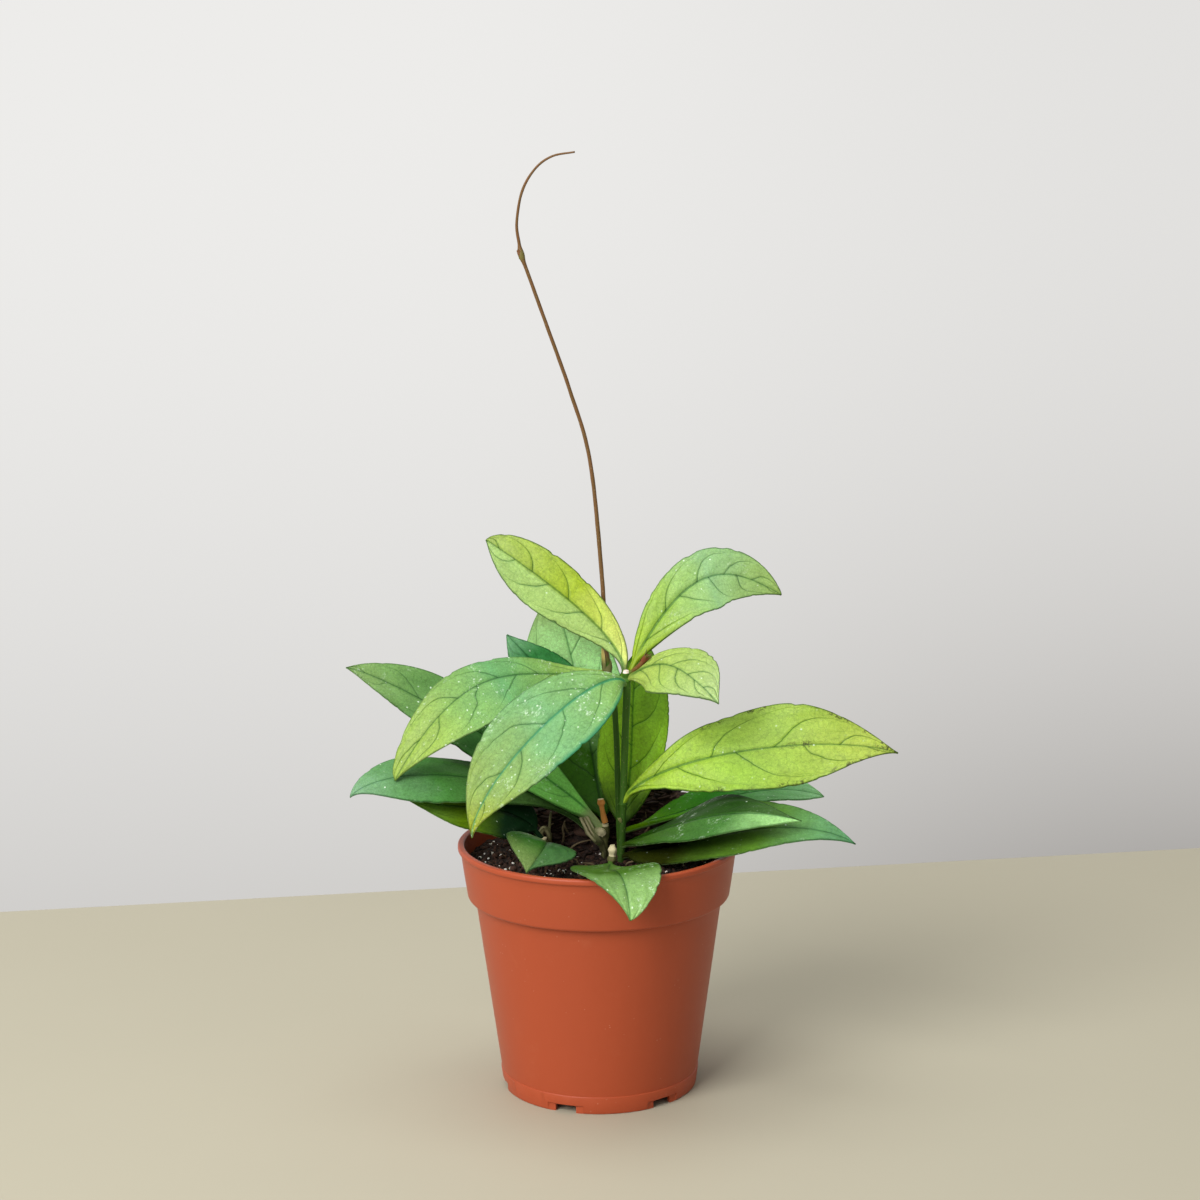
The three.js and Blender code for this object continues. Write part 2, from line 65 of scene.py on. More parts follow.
# The pot's profile, in millimetres, below the sizes that come from the frame, with the rounding of its
# corners, how near the axis a spun profile starts and how many steps it is spun in.
BAND_TOP_RADIUS = 51.4
BAND_BOTTOM_RADIUS = 49.1
BAND_BOTTOM = 73.2
BODY_TOP_RADIUS = 46.2
BASE_RADIUS = 36.5
FLOOR_UNDERSIDE = 3.0
FLOOR_TOP = 4.3
FOOT_RADIUS = 11.0
SOFT_CORNER = 0.5
AXIS_GAP = 0.05
POT_STEPS = 144

# Notches in the foot, each in a shallow recess, and drain holes in the floor, all on the same six angles.
# A size is a width and a height, and a depth is how far it goes into the skirt.
NOTCH_COUNT = 6
NOTCH_FIRST = math.radians(-110.6)
NOTCH_SIZE = (8.0, 2.6)
NOTCH_DEPTH = 2.7
RECESS_SIZE = (14.0, 3.2)
RECESS_DEPTH = 0.7
CUTTER_REACH = 5.0
CUTTER_BEVEL = 0.35
DRAIN_RADIUS = 3.0
DRAIN_CIRCLE = 26.0

# The plug of soil: its height at the rim and in the middle, the radius and height of its foot and of two
# points up its side, and the lumps of its surface, from low to rough.
SOIL_EDGE = 86.8
SOIL_MIDDLE = 85.0
SOIL_RADIUS = 49.0
SOIL_FOOT = (BASE_RADIUS - 2.2, FLOOR_TOP + 0.4)
SOIL_FOOT_BEVEL = 2.0
SOIL_SIDE = ((BODY_TOP_RADIUS - 2, 71.0), (BAND_BOTTOM_RADIUS - 2.2, 77.0))
SOIL_RINGS = 60
SOIL_SIDES = 240
LUMP_HEIGHT = 0.5
BROAD_LUMP = 5.0
FINE_LUMP = 3.0
ROUGH_HEIGHT = 0.9
ROUGH_SPAN = 4.5

# Loose bits: the smallest share of the usual size, how much larger a rare one is and how rare it is, how
# far a bit leans, in radians, how far the bits and the flakes stay from the pot's wall, and the share of
# the heap's reach that the flakes cover.
BIT_SMALLEST = 0.45
BIT_EXTRA = 1.1
BIT_RARITY = 6
BIT_LEAN = 0.6
BIT_CLEARANCE = 0.6
FLAKE_CLEARANCE = 5.0
FLAKE_REACH = 0.97

# Where few white grains lie: the middle of that patch, its inner and outer radius, and the share left.
BARE_MIDDLE = (4, 6)
BARE_REACH = (14, 34)
BARE_SHARE = 0.25

# The heap of dry litter behind the stems: its middle, its reach, its height over the soil, how rough it is
# and how deep its edge and its underside sink in. It rises over one stretch at the front, and falls by a
# share over others at the back and the left.
LITTER_MIDDLE = (4.0, 22.0)
LITTER_REACH = (38.0, 22.5)
LITTER_HEIGHT = 21
LITTER_ROUGHNESS = 2.4
LITTER_SPAN = 5
LITTER_SINK = 0.8
LITTER_DEPTH = 4.0
LITTER_FRONT = (6, 27)
LITTER_BACK = (28, 45)
LITTER_BACK_FALL = 0.75
LITTER_LEFT = (4, 22)
LITTER_LEFT_FALL = 0.25
LITTER_SIDES = 72
LITTER_RINGS = 26

# The fine roots that stand in the heap and in the soil, each with its foot, its lean and its reach. All
# of them taper by the same shares of their way and radii, sway a little and droop towards their ends.
ROOT_SEED = 47
ROOT_TAPER = ((0, 0.5), (0.3, 0.42), (0.65, 0.36), (1, 0.22))
ROOT_SWAY = 1.5
ROOT_DROOP = 3.5
FINE_ROOTS = (
    (-19.0, 10.0, 86.0, -0.2, 15.0), (-15.5, 13.0, 87.0, 0.3, 14.0), (-23.0, 14.0, 87.0, 0.5, 13.0),
    (-11.0, 9.0, 86.0, 0.9, 9.0), (-4.5, -7.0, 85.0, -0.9, 7.0), (1.0, -12.5, 85.0, -1.1, 7.0),
    (14.0, 14.0, 88.0, 0.5, 15.0), (17.0, 18.0, 90.0, 0.2, 13.0), (21.0, 16.0, 89.0, -0.3, 12.0),
    (-8.0, 15.0, 88.0, -0.4, 13.0), (11.0, -6.0, 85.0, 0.8, 6.0),
)

# Leaf blades: how finely they are divided, how much closer the rows lie towards the edge, and where the
# stalk has turned into a blade.
BLADE_STEPS = 96
BLADE_ACROSS = 40
EDGE_CROWDING = 1.3
BLADE_START = 0.2

# Their edge: how often it waves, how deep its small nicks are and how close they sit.
WAVES = 2.5
EDGE_NICKS = 1.1
NICKS_ALONG = 36

# Their tip: its half width and thickness, how late its hook begins, and from where it thins out and to what.
TIP_HALF_WIDTH = 0.3
TIP_THICKNESS = 0.6
HOOK_POWER = 7
THIN_FROM = 0.96
THIN_TO = 0.45

# Their surface: how high and long its ripples are, how many side veins there are, how far these shift from
# one half to the other, and how they bend towards the tip, from the midrib to the edge.
RIPPLE_HEIGHT = 0.5
RIPPLE_SPAN = 16
VEIN_COUNT = 5
VEIN_SHIFT = 0.45
VEIN_BEND = (0.3, 0.12, 0.8)

# Each shoot runs through points of x, y, z and radius, from its foot to its end. Its direction is read a
# small share of its way ahead and back.
LOOK_AHEAD = 0.01
MAIN_STEM = (
    (8, 0, 72, 1.3), (8.5, 0, 87, 1.4), (9.2, 0, 105, 1.3), (9.3, 0, 107.5, 1.7), (9.4, 0, 110, 1.3),
    (10.3, 0, 135, 1.3), (10.9, -0.2, 149, 1.4), (10.8, -0.9, 153.6, 1.5), (10.7, -1.3, 155.2, 1.9),
    (10.7, -1.6, 156.4, 1.2), (10.7, -1.9, 157.6, 1.35), (10.7, -2, 158.8, 1),
)
BUD_STALK = (
    (11.3, -1, 157, 0.9), (13.4, -3.2, 159, 0.8), (15.8, -5.2, 161.4, 0.9), (18.6, -6.4, 165.6, 0.5),
)
SIDE_BUD = (8.6, -0.9, 101)
RUNNER = (
    (7.8, 7, 72, 1.1), (8, 6, 90, 1.1), (7.7, 5, 104, 1.1), (6.6, 5, 141, 1.05), (4.2, 5, 156, 1.3),
    (3.4, 5.4, 160.5, 1.6), (3.1, 6.2, 165, 1.2), (2.9, 7.5, 170, 0.9), (2.1, 9, 191, 0.8),
    (-2, 8, 235, 0.75), (-9.1, 7, 261, 0.7), (-18, 5, 287, 0.65), (-24.3, 4, 305, 0.65),
    (-26.2, 4, 310.5, 1.2), (-27, 4, 315, 0.6), (-27.7, 3, 322, 0.5), (-25.7, 2, 333, 0.5),
    (-21, 1, 341, 0.45), (-14.8, 0, 345.5, 0.4), (-6.6, 0, 347, 0.35),
)

# Which of the runner's points carry its dry sheath and the buds of its node.
SHEATH_POINT = 4
NODE_POINT = 13

# The short stems that come up through the soil, and the dried stub on the left one.
LOW_STEMS = {
    "stem_low_left": (
        (1.6, 5, 72, 1.5), (2.2, 5, 86, 1.3), (2.4, 4.8, 91, 1.3), (2.5, 4.6, 95.5, 1.6),
        (2.5, 4.4, 98.8, 1.3),
    ),
    "stem_low_front_left": (
        (-19.4, 4, 74, 1.2), (-19.8, 3.6, 86, 1.3), (-20, 3, 91, 1.5), (-20.4, 2.4, 94, 1),
    ),
    "stem_low_front": (
        (4.6, -11, 74, 1.2), (4.6, -11, 85, 1.2), (4.9, -11, 87.4, 1), (5, -11, 89.3, 1.5),
        (5.2, -11, 91.1, 1.1), (5.3, -11, 93, 1.6), (5.3, -11, 94.8, 0.9),
    ),
}
DRIED_STUB = (
    (2.7, 4.4, 99.4, 1.1), (2, 4.2, 102, 0.95), (1.4, 4, 105.4, 0.95), (1.2, 4, 106.8, 1.4),
    (1, 4, 108.4, 1.1),
)

# The gnarled foot of the far left leaf.
GNARLED_FOOT = (
    (2.3, 4.9, 84, 1), (1.9, 4.4, 90, 1.2), (0.2, 3.9, 93.2, 1.7), (-2.4, 4, 96, 1.8), (-4, 4.6, 99, 1.8),
    (-5.6, 5.4, 102, 1.5), (-8, 6.2, 104.6, 1),
)

# The foot's pale ridges, each with its place beside the middle and the stretch that it follows, the knob
# on its side, and the small shoots and the small knob near the low stems.
FOOT_RIDGES = ((-1.1, 2, 6), (0.1, 2, 7), (1, 3, 6))
RIDGE_RADIUS = 0.45
SIDE_KNOB = ((-2, 3.4, 95.4, 1.3), (-0.2, 2.6, 96.4, 1.2), (1.2, 2.2, 96, 1.3), (2.2, 2.2, 95, 0.9))
CURLED_SHOOT = (
    (-17.6, 6, 84, 0.7), (-18, 6, 91, 0.7), (-18.6, 5.6, 95, 0.8), (-20.4, 5, 97, 0.9),
    (-21.8, 4.6, 95.4, 0.9), (-21, 4.4, 93.6, 0.6),
)
THIN_SHOOT = ((-18.8, 10, 84, 0.6), (-18.5, 10, 93, 0.5), (-18.2, 10.4, 98, 0.6), (-17.8, 10.6, 102, 0.4))
SMALL_KNOB = ((4.4, -12.6, 84.5, 0.8), (4.5, -12.8, 86.4, 1), (4.6, -13, 88, 0.6))

# Bud scales: how far one wraps round the bud and the turn from one to the next, in radians, its thickness,
# and how much each step up the bud lifts it, as a share of its length.
SCALE_WRAP = 1.1
SCALE_TURN = 2.4
SCALE_THICKNESS = 0.14
SCALE_LIFT = 0.16


def leaf(node, slot, midrib, face, edges, stalk, fold, wave, colours, far=None, hook=0, flecks=0.3, rim=0.6,
         scars=0, veins=1.2, gloss=1, rib_colour=None, stalk_colour=None, stops=(0.06, 0.5, 0.97)):
    """One leaf of the plant.

    The midrib has four points, evenly spaced from the stem to the tip. "face" is the way the upper side
    looks at both ends. "edges" holds, for each side of the midrib, the half width and how slowly it rises
    from the stalk and falls to the tip. "stalk" is the stalk's share of the length and its radius. "fold"
    is how far the sides rise from the midrib, and "wave" how far their edges go up and down. "colours" are
    those of the upper side at root, middle and tip, "stops" where each of them lies, and "far" is the
    colour of the second half. On some leaves these colours hold painted light and shade: a root painted
    dark for the shade deep among the stems, a part painted pale where light falls, and a second half
    painted for the light that the fold gives it. "hook" is how far the very tip bends sideways, "flecks"
    how many silvery flecks there are, "rim" how dark the edge line is, the leaf's own dark margin with
    painted shade of its edge, "scars" how strong the brown marks are, "veins" how plain the side veins
    are, and "gloss" how much of the usual shine there is. "rib_colour" and "stalk_colour" are given where
    they aren't shades of the blade's own colours.
    """
    return {
        "node": node, "slot": slot, "midrib": midrib, "face": face, "edges": edges, "stalk": stalk[0],
        "stalk_radius": stalk[1], "fold": fold, "wave": wave, "colours": colours, "far": far, "hook": hook,
        "flecks": flecks, "rim": rim, "scars": scars, "veins": veins, "gloss": gloss,
        "rib_colour": rib_colour, "stalk_colour": stalk_colour, "stops": stops,
    }


LEAVES = (
    # Painted light: its second half takes the paler "far" colour, for the half that the fold turns to the
    # light.
    leaf("leaf_top_left", "leaf_young",
         ((10.2, 0, 157.5), (-0.2, 3, 174.9), (-21.3, 8, 192.4), (-40.6, 15, 205.7)),
         ((-0.1, -1, 0.5), (-0.1, -1, 0.5)), ((10.3, 1.05, 0.65), (11.5, 1.9, 1.25)), (0.03, 1.1), 0.08, 0.4,
         ("e0e985", "96ac2a", "8fa64f"), far="99b86c", hook=0.6, flecks=0.1, rim=0.85, stalk_colour="47652f"),
    leaf("leaf_top_right", "leaf_young",
         ((12, 0.8, 157.5), (32.5, 9.6, 186), (50.5, 11, 192), (68.8, 9, 185)),
         ((-0.3, -1, 0.5), (-0.15, -1, 0.6)), ((13.4, 1.05, 1.25), (11, 0.75, 0.85)), (0.03, 1.1), 0.06, 0.4,
         ("8eab10", "85ad74", "87a254"), hook=-0.4, flecks=0.25, rim=0.8),
    leaf("leaf_top_small", "leaf_young",
         ((11.4, -1.2, 155), (24, -13.5, 163.2), (34.1, -23, 160.4), (45, -30, 154.2)),
         ((0, -1, 0.8), (0, -0.7, 0.9)), ((13.6, 1.05, 1.5), (12.6, 1.6, 1.1)), (0.02, 1.1), -0.05, 0.3,
         ("95a94e", "91ab52", "a7c07c"), hook=-3, flecks=0.15, rim=0.85),
    leaf("leaf_front_left_big", "leaf_mint",
         ((11, 0, 152.2), (-6.5, -14, 151.8), (-32.3, -28, 129.7), (-45, -42, 106.6)),
         ((-0.3, -1, 0.6), (-0.3, -1, 0.5)), ((16, 2, 1.8), (16.6, 1.25, 1.5)), (0.03, 1.2), 0.06, 0.6,
         ("83aa56", "6ea068", "8b941e"), flecks=1.0, veins=1.1, rib_colour="2c8058"),
    leaf("leaf_left_arched", "leaf_fresh",
         ((3.6, 5, 156.6), (-25, 5, 156.1), (-48.6, -3, 151), (-75.8, -13, 121.4)),
         ((-0.1, -0.6, 1), (-0.2, -0.9, 0.8)), ((10.5, 0.95, 0.56), (17.8, 2.3, 1.3)), (0.03, 1.2), 0.06, 0.6,
         ("8dad4a", "5e9659", "90a849"), hook=1.9, flecks=0.6),
    leaf("leaf_far_left", "leaf_green",
         ((0.9, 4.8, 95.9), (-23.3, 10, 118.1), (-64, 18, 142.5), (-93.9, 14, 156.5)),
         ((0.2, -0.8, 0.8), (0.2, -0.8, 0.8)), ((12.7, 1.65, 1.4), (11.8, 0.9, 1.1)), (0.1, 1.7), 0.15, 0.5,
         ("94e76a", "3a732f", "85a763"), hook=-0.8, flecks=0.4, veins=0.9, stalk_colour="8c9668"),
    leaf("leaf_low_left", "leaf_green",
         ((0.9, 4, 91), (-28.5, 4, 112), (-65.5, -8, 121.1), (-91, -15, 115.1)),
         ((0, -0.5, 1), (0, -0.5, 1)), ((13.5, 1.3, 0.95), (13.9, 2.3, 1.75)), (0.08, 1.3), -0.15, 0.5,
         ("466830", "487f39", "739a74"), hook=0.7, stops=(0.35, 0.62, 0.97),
         flecks=0.2, veins=0.2, gloss=0.3),
    leaf("leaf_low_left_dark", "leaf_dark",
         ((-20, 3, 91.5), (-33.8, 1, 104), (-50.9, -5, 108.3), (-71.5, -8, 113.3)),
         ((0, -0.6, 1), (0, -0.6, 1)), ((14.1, 0.7, 1.25), (15.6, 1, 1.45)), (0.1, 1), 0.06, 0.3,
         ("17351c", "54710b", "6a9031"), hook=0.6, stops=(0.4, 0.65, 0.85),
         flecks=0.15, veins=0.1, gloss=0.3),
    # Painted light and shade: its second half takes the "far" colour, a greyer green, for the light that the
    # fold gives that half.
    leaf("leaf_small_front_left", "leaf_green",
         ((-20, 3, 89), (-18.9, -16, 97.1), (-20.9, -29, 97.1), (-26.7, -38, 92.9)),
         ((0.3, -0.2, 1), (0.3, -0.2, 1)), ((14.4, 1.65, 1.15), (12, 2.3, 2.2)), (0.05, 1), 0.1, 0.2,
         ("97b16c", "367122", "7b9152"), far="3f6a3a", hook=1.1, flecks=0.3, veins=0.05),
    leaf("leaf_over_rim", "leaf_fresh",
         ((4.6, -11, 88), (4.5, -32, 91.2), (8, -51, 94.4), (11, -63, 82)),
         ((0.03, -0.2, 1), (0.03, -0.4, 1)), ((15.6, 1, 1.3), (15, 1.05, 0.75)), (0.05, 1.1), 0.12, 0.2,
         ("4d7528", "3a5e15", "90ba6d"), stops=(0.2, 0.6, 0.95), flecks=0.8, veins=0.1),
    leaf("leaf_right_big", "leaf_young",
         ((9.3, 0, 108), (32.3, -4, 123.5), (72.1, -10, 131.9), (110, -16, 132)),
         ((-0.2, -1, 0.7), (0, -1, 0.6)), ((16.5, 2, 1.6), (16.3, 2.15, 1.5)), (0.03, 1.2), 0.06, -2,
         ("a9ca34", "8aad3e", "9eaf47"), hook=-1.9, flecks=0.25, rim=0.85, scars=0.85, veins=1.3),
    # Painted shade: its root is dark where it lies deep among the stems, and its second half takes the near
    # black "far" colour where the fold turns it from the light.
    leaf("leaf_low_right_front", "leaf_green",
         ((8.6, 0, 91.2), (26, -12, 101.3), (48, -24, 109.6), (72, -34, 107.8)),
         ((0, -0.15, 1), (0, -0.5, 1)), ((12.5, 1.1, 1.1), (19, 1.3, 1.7)), (0.04, 1.1), -0.1, 0.4,
         ("345012", "447134", "a0d285"), far="173a00", hook=3, stops=(0.1, 0.66, 0.95), flecks=0.5,
         veins=0.2, gloss=0.15),
    # Painted shade: its root is near black where it lies in deep shade.
    leaf("leaf_low_right_dark", "leaf_dark",
         ((8.5, 0, 87.3), (35.1, -12, 96.6), (65.7, -22, 103.9), (93.5, -28, 99.8)),
         ((0, -0.5, 1), (0, -0.5, 1)), ((14, 0.85, 1.25), (15.5, 1.1, 1.35)), (0.04, 1.1), 0.08, 0.4,
         ("262c06", "5b862a", "5b8f63"), hook=-0.8, stops=(0.25, 0.55, 0.97),
         flecks=0.2, veins=0.15, gloss=0.5),
    leaf("leaf_low_right_back", "leaf_green",
         ((8.9, 0, 97), (34.3, 12, 101.9), (60.4, 16, 107.6), (86.1, 20, 104.4)),
         ((0, -0.05, 1), (0, -0.25, 1)), ((12, 1.6, 0.9), (16.6, 1.2, 0.95)), (0.1, 1.1), 0.08, 0.4,
         ("4b7200", "297d0d", "8ec88a"), flecks=0.3, veins=0.3, gloss=0.3),
    # Painted light and shade: darker at its root, where the front leaf shades it, and pale mint higher up,
    # where light falls on it.
    leaf("leaf_tall_back_left", "leaf_mint",
         ((3, 5.2, 93.5), (-2.8, 28, 123.1), (-9.4, 33, 155.1), (-17, 36, 182.7)),
         ((0, -1, 0.2), (0, -1, 0.2)), ((17, 0.7, 0.8), (22.5, 0.75, 0.9)), (0.08, 1.3), 0.08, 0.5,
         ("39690d", "c1fca9", "859955"), stops=(0.3, 0.6, 0.97), flecks=0.2),
    leaf("leaf_small_back_left", "leaf_dark",
         ((5.4, 5, 150), (-9, 14, 147.5), (-21, 18.6, 155), (-34.4, 21, 167.6)),
         ((0, -1, 0.4), (0, -1, 0.4)), ((9, 1.2, 1.2), (11, 1.4, 1)), (0.1, 1), 0.06, 0.3,
         ("255427", "317539", "70a275"), hook=-0.7, stops=(0.1, 0.75, 0.97),
         flecks=0.1, veins=0.4, gloss=0.4),
    leaf("leaf_tall_back_right", "leaf_green",
         ((8, 6.2, 95), (12.5, 14, 120.2), (13.7, 18, 145.5), (18, 22, 165.4)),
         ((0, -1, 0.1), (0, -1, 0.1)), ((13.8, 0.9, 0.8), (13, 0.8, 1.5)), (0.04, 1.2), 0.08, 0.4,
         ("173908", "a7dd34", "689921"), stops=(0.04, 0.3, 0.75), flecks=0.05),
)

# The camera, in metres and degrees, and the table: where its far edge crosses the middle, how that edge
# slopes to the right, and how far the table goes on.
CAMERA_PLACE = (0.0, -0.9, 0.346)
CAMERA_TILT = 10.15
CAMERA_TURN = 0.08
CAMERA_ROLL = -0.39
CAMERA_LENS = 74.64
CAMERA_SENSOR = 36.0
TABLE_EDGE_MIDDLE = 0.2627
TABLE_EDGE_SLOPE = 0.1607
TABLE_REACH = 4.0

# The lamps: where each stands, its share of the key light's power and of its width, and where they aim.
LAMPS = (
    ("key_light", (-1.05, -1.4, 1.3), 1.0, 1.0),
    ("top_light", (-0.2, 0.1, 1.6), 0.2, 0.8),
)
LAMPS_AIM = (0, 0, 0.12)

# The wall's light: it falls off below a height, more so to the right, and never below a least strength.
# Where it is dark it is also warmer, by one factor for each of red, green and blue.
WALL_FALL_HEIGHT = 0.04
WALL_FALL = 2.33
RIGHT_REACH = (-0.1, 0.26)
RIGHT_FALL = 0.098
RIGHT_LOW_FALL = 30
WALL_LEAST = 0.3
WALL_WARMTH = (1.0, 0.975, 0.95)


def linear(code):
    """A colour code as linear red, green and blue."""
    parts = [int(code[i : i + 2], 16) / 255 for i in (0, 2, 4)]
    return tuple(c / 12.92 if c <= 0.04045 else ((c + 0.055) / 1.055) ** 2.4 for c in parts)


def toned(tint, factor):
    """A colour made darker or lighter."""
    return tuple(c * factor for c in tint)


def length(name, description, millimetres):
    """A length that a user can change, its default given in millimetres."""
    return bpy.props.FloatProperty(
        name=name, description=description, default=millimetres * MM, min=0.0, unit="LENGTH", precision=5
    )


def share(name, description, default):
    """A share from none to all that a user can change."""
    return bpy.props.FloatProperty(
        name=name, description=description, default=default, min=0.0, max=1.0, subtype="FACTOR"
    )


def count(name, description, default):
    """A number of pieces that a user can change."""
    return bpy.props.IntProperty(name=name, description=description, default=default, min=0, max=5000)


def colour(name, description, code):
    """A colour that a user can change, its default given as a colour code."""
    return bpy.props.FloatVectorProperty(
        name=name, description=description, default=linear(code), min=0.0, max=1.0, subtype="COLOR"
    )


class PotSettings(bpy.types.PropertyGroup):
    """Sizes and colours of the nursery pot."""

    rim_radius: length("Rim Radius", "Outer radius of the lip", POT_HIGH.x / MM)
    height: length("Height", "Height of the pot over its foot", POT_HIGH.z / MM)
    lip_height: length("Lip Height", "How thick the lip is, from top to bottom", 2.2)
    wall: length("Wall", "Thickness of the pot's wall", 1.4)
    skirt_wall: length("Skirt Wall", "Thickness of the wall under the floor", 1.8)
    lip_rounding: length("Lip Rounding", "Radius of the lip's edges", 0.7)
    band_rounding: length("Band Rounding", "Radius of the band's lower edge", 1.4)
    parting_line: length("Parting Line", "Height of the fine step that the mould leaves", 6.6)
    parting_step: length("Parting Step", "Depth of that step", 0.3)
    plastic: colour("Plastic", "Colour of the plastic", "a94a2a")
    plastic_worn: colour("Worn Plastic", "Colour where the plastic is rubbed pale", "ae5b3d")
    roughness: share("Roughness", "Roughness of the plastic", 0.42)


class SoilSettings(bpy.types.PropertyGroup):
    """Colours and loose bits of the potting mix."""

    peat: colour("Peat", "Colour of the damp peat", "1e1511")
    peat_dry: colour("Dry Peat", "Colour of the drier, redder peat", "412a1f")
    perlite: colour("Perlite", "Colour of the white grains", "f4f1ea")
    husk: colour("Husk", "Colour of the bark and husk bits", "7a6044")
    crumbs: count("Crumbs", "Number of peat crumbs on the surface", 3400)
    grains: count("Perlite Grains", "Number of white grains on the surface", 300)
    husks: count("Husks", "Number of bark and husk bits", 90)
    flakes: count("Litter Flakes", "Number of flakes on the heap of dry litter", 900)
    crumb_size: length("Crumb Size", "Usual radius of a peat crumb", 0.58)
    grain_size: length("Grain Size", "Usual radius of a white grain", 0.5)
    husk_size: length("Husk Size", "Usual radius of a bark or husk bit", 0.7)
    flake_size: length("Flake Size", "Usual radius of a litter flake", 1.1)


class StemSettings(bpy.types.PropertyGroup):
    """Colours of the stems, buds and stubs."""

    green: colour("Green Stem", "Colour of the upright main stem", "4c7a25")
    olive: colour("Olive Stem", "Colour of the short low stems", "6b6a3e")
    runner: colour("Runner", "Colour of the long leafless runner", "7d5238")
    sheath: colour("Sheath", "Colour of the dry sheath at the runner's node", "b8a45c")
    knob: colour("Knobs", "Colour of the pale knobs on the low stems", "c9bd96")
    cut: colour("Cut End", "Colour of the main stem's cut end", "f0dccf")
    stub: colour("Dried Stub", "Colour of the dried stub", "d08a45")
    stub_top: colour("Stub Top", "Colour of the dried stub's top", "d9c39a")
    bud: colour("Bud Scales", "Colour of the brown bud's scales", "7a4328")


class LeafSettings(bpy.types.PropertyGroup):
    """How the blades are made and finished."""

    middle: length("Rib Thickness", "Thickness of a blade along its midrib, at its root", 1.3)
    edge: length("Edge Thickness", "Thickness of a blade near its edge", 0.6)
    groove: length("Midrib Groove", "Depth of the groove along the midrib", 0.35)
    quilting: length("Quilting", "How far the blade rises between its veins", 0.14)
    vein_width: length("Vein Width", "Half the width of a side vein", 0.2)
    vein: share("Veins", "How dark the veins are", 0.62)
    mottling: share("Mottling", "How strong the pale and dark clouds on a blade are", 0.45)
    shine: share("Shine", "How much light the smooth upper skin reflects", 0.22)
    fleck: colour("Flecks", "Colour of the silvery flecks", "dcefd8")
    underside: colour("Underside", "Colour that the lower side leans to", "8fb070")
    roughness: share("Roughness", "Roughness of the upper side", 0.42)


class StageSettings(bpy.types.PropertyGroup):
    """The table, the wall's light and the lamps."""

    table: colour("Table", "Colour of the table", "b3ad98")
    wall: colour("Wall", "Colour of the pale wall behind, at its brightest", "edecea")
    key_power: bpy.props.FloatProperty(
        name="Key Light", description="Power of the soft key light", default=50.0, min=0.0, unit="POWER"
    )
    key_size: length("Key Size", "Width of the soft key light", 1200)
    fill: share("Fill", "Brightness of the room in front, as a share of the wall's", 0.5)


class Term:
    """A number that varies over a surface. Arithmetic on it adds Math nodes."""

    def __init__(self, finish, socket):
        self.finish = finish
        self.socket = socket

    def __add__(self, other):
        return self.finish.maths("ADD", self, other)

    __radd__ = __add__

    def __sub__(self, other):
        return self.finish.maths("SUBTRACT", self, other)

    def __rsub__(self, other):
        return self.finish.maths("SUBTRACT", other, self)

    def __mul__(self, other):
        return self.finish.maths("MULTIPLY", self, other)

    __rmul__ = __mul__

    def __truediv__(self, other):
        return self.finish.maths("DIVIDE", self, other)

    def __rtruediv__(self, other):
        return self.finish.maths("DIVIDE", other, self)

    def __pow__(self, other):
        return self.finish.maths("POWER", self, other)

    def __abs__(self):
        return self.finish.maths("ABSOLUTE", self)


class Nodes:
    """A node tree while it is made. "node" adds any node; the other methods are short ways to use it."""

    def __init__(self, tree):
        self.tree = tree

    def node(self, kind, settings, sockets, output=0):
        """Adds a node, sets it up, feeds its sockets, and gives one of its outputs."""
        node = self.tree.nodes.new("ShaderNode" + kind)
        for key, value in settings.items():
            if key == "stops":
                self.ramp_stops(node.color_ramp, value)
            else:
                setattr(node, key, value)
        for key, value in sockets.items():
            self.feed(node.inputs[key], value)
        return Term(self, node.outputs[output])

    def ramp_stops(self, ramp, stops):
        """Sets a ramp's stops, each a place and a linear colour."""
        while len(ramp.elements) < len(stops):
            ramp.elements.new(0.5)
        for element, (place, tint) in zip(ramp.elements, stops):
            element.position = place
            element.color = (*tint, 1)

    def feed(self, socket, value):
        """Links a term to a socket, or sets the socket to a number or colour."""
        if isinstance(value, Term):
            self.tree.links.new(value.socket, socket)
        elif socket.type == "RGBA":
            socket.default_value = (*value, 1)
        else:
            socket.default_value = value

    def maths(self, operation, *values):
        return self.node("Math", {"operation": operation}, dict(enumerate(values)))

    def smooth(self, value, low, high):
        """0 below low, 1 above high, and a soft step between."""
        sockets = {"Value": value, "From Min": low, "From Max": high}
        return self.node("MapRange", {"interpolation_type": "SMOOTHSTEP"}, sockets)

    def fall(self, value, low, high):
        """1 below low, 0 above high, and a soft step between."""
        return 1 - self.smooth(value, low, high)

    def mix(self, factor, first, second, blend="MIX"):
        """A colour between two colours."""
        settings = {"data_type": "RGBA", "blend_type": blend}
        return self.node("Mix", settings, {0: factor, 6: first, 7: second}, output=2)

    def ramp(self, value, stops):
        return self.node("ValToRGB", {"stops": stops}, {"Fac": value})

    def place(self):
        """Where a point lies on the piece, in metres."""
        return self.node("TexCoord", {}, {}, output="Object")

    def attribute(self, name, output="Vector"):
        return self.node("Attribute", {"attribute_name": name}, {}, output=output)

    def moved(self, vector, by):
        """A vector plus another."""
        return self.node("VectorMath", {"operation": "ADD"}, {0: vector, 1: by})

    def stretched(self, vector, scale):
        """A vector times one number for each axis."""
        return self.node("VectorMath", {"operation": "MULTIPLY"}, {0: vector, 1: scale})

    def split(self, vector):
        """The three parts of a vector."""
        x = self.node("SeparateXYZ", {}, {"Vector": vector})
        return [Term(self, socket) for socket in x.socket.node.outputs]

    def noise(self, vector, scale, detail=2.0, roughness=0.5):
        sockets = {"Vector": vector, "Scale": scale, "Detail": detail, "Roughness": roughness}
        return self.node("TexNoise", {}, sockets)

    def cells(self, vector, scale, feature="F1", output="Distance"):
        sockets = {"Vector": vector, "Scale": scale}
        return self.node("TexVoronoi", {"feature": feature}, sockets, output=output)


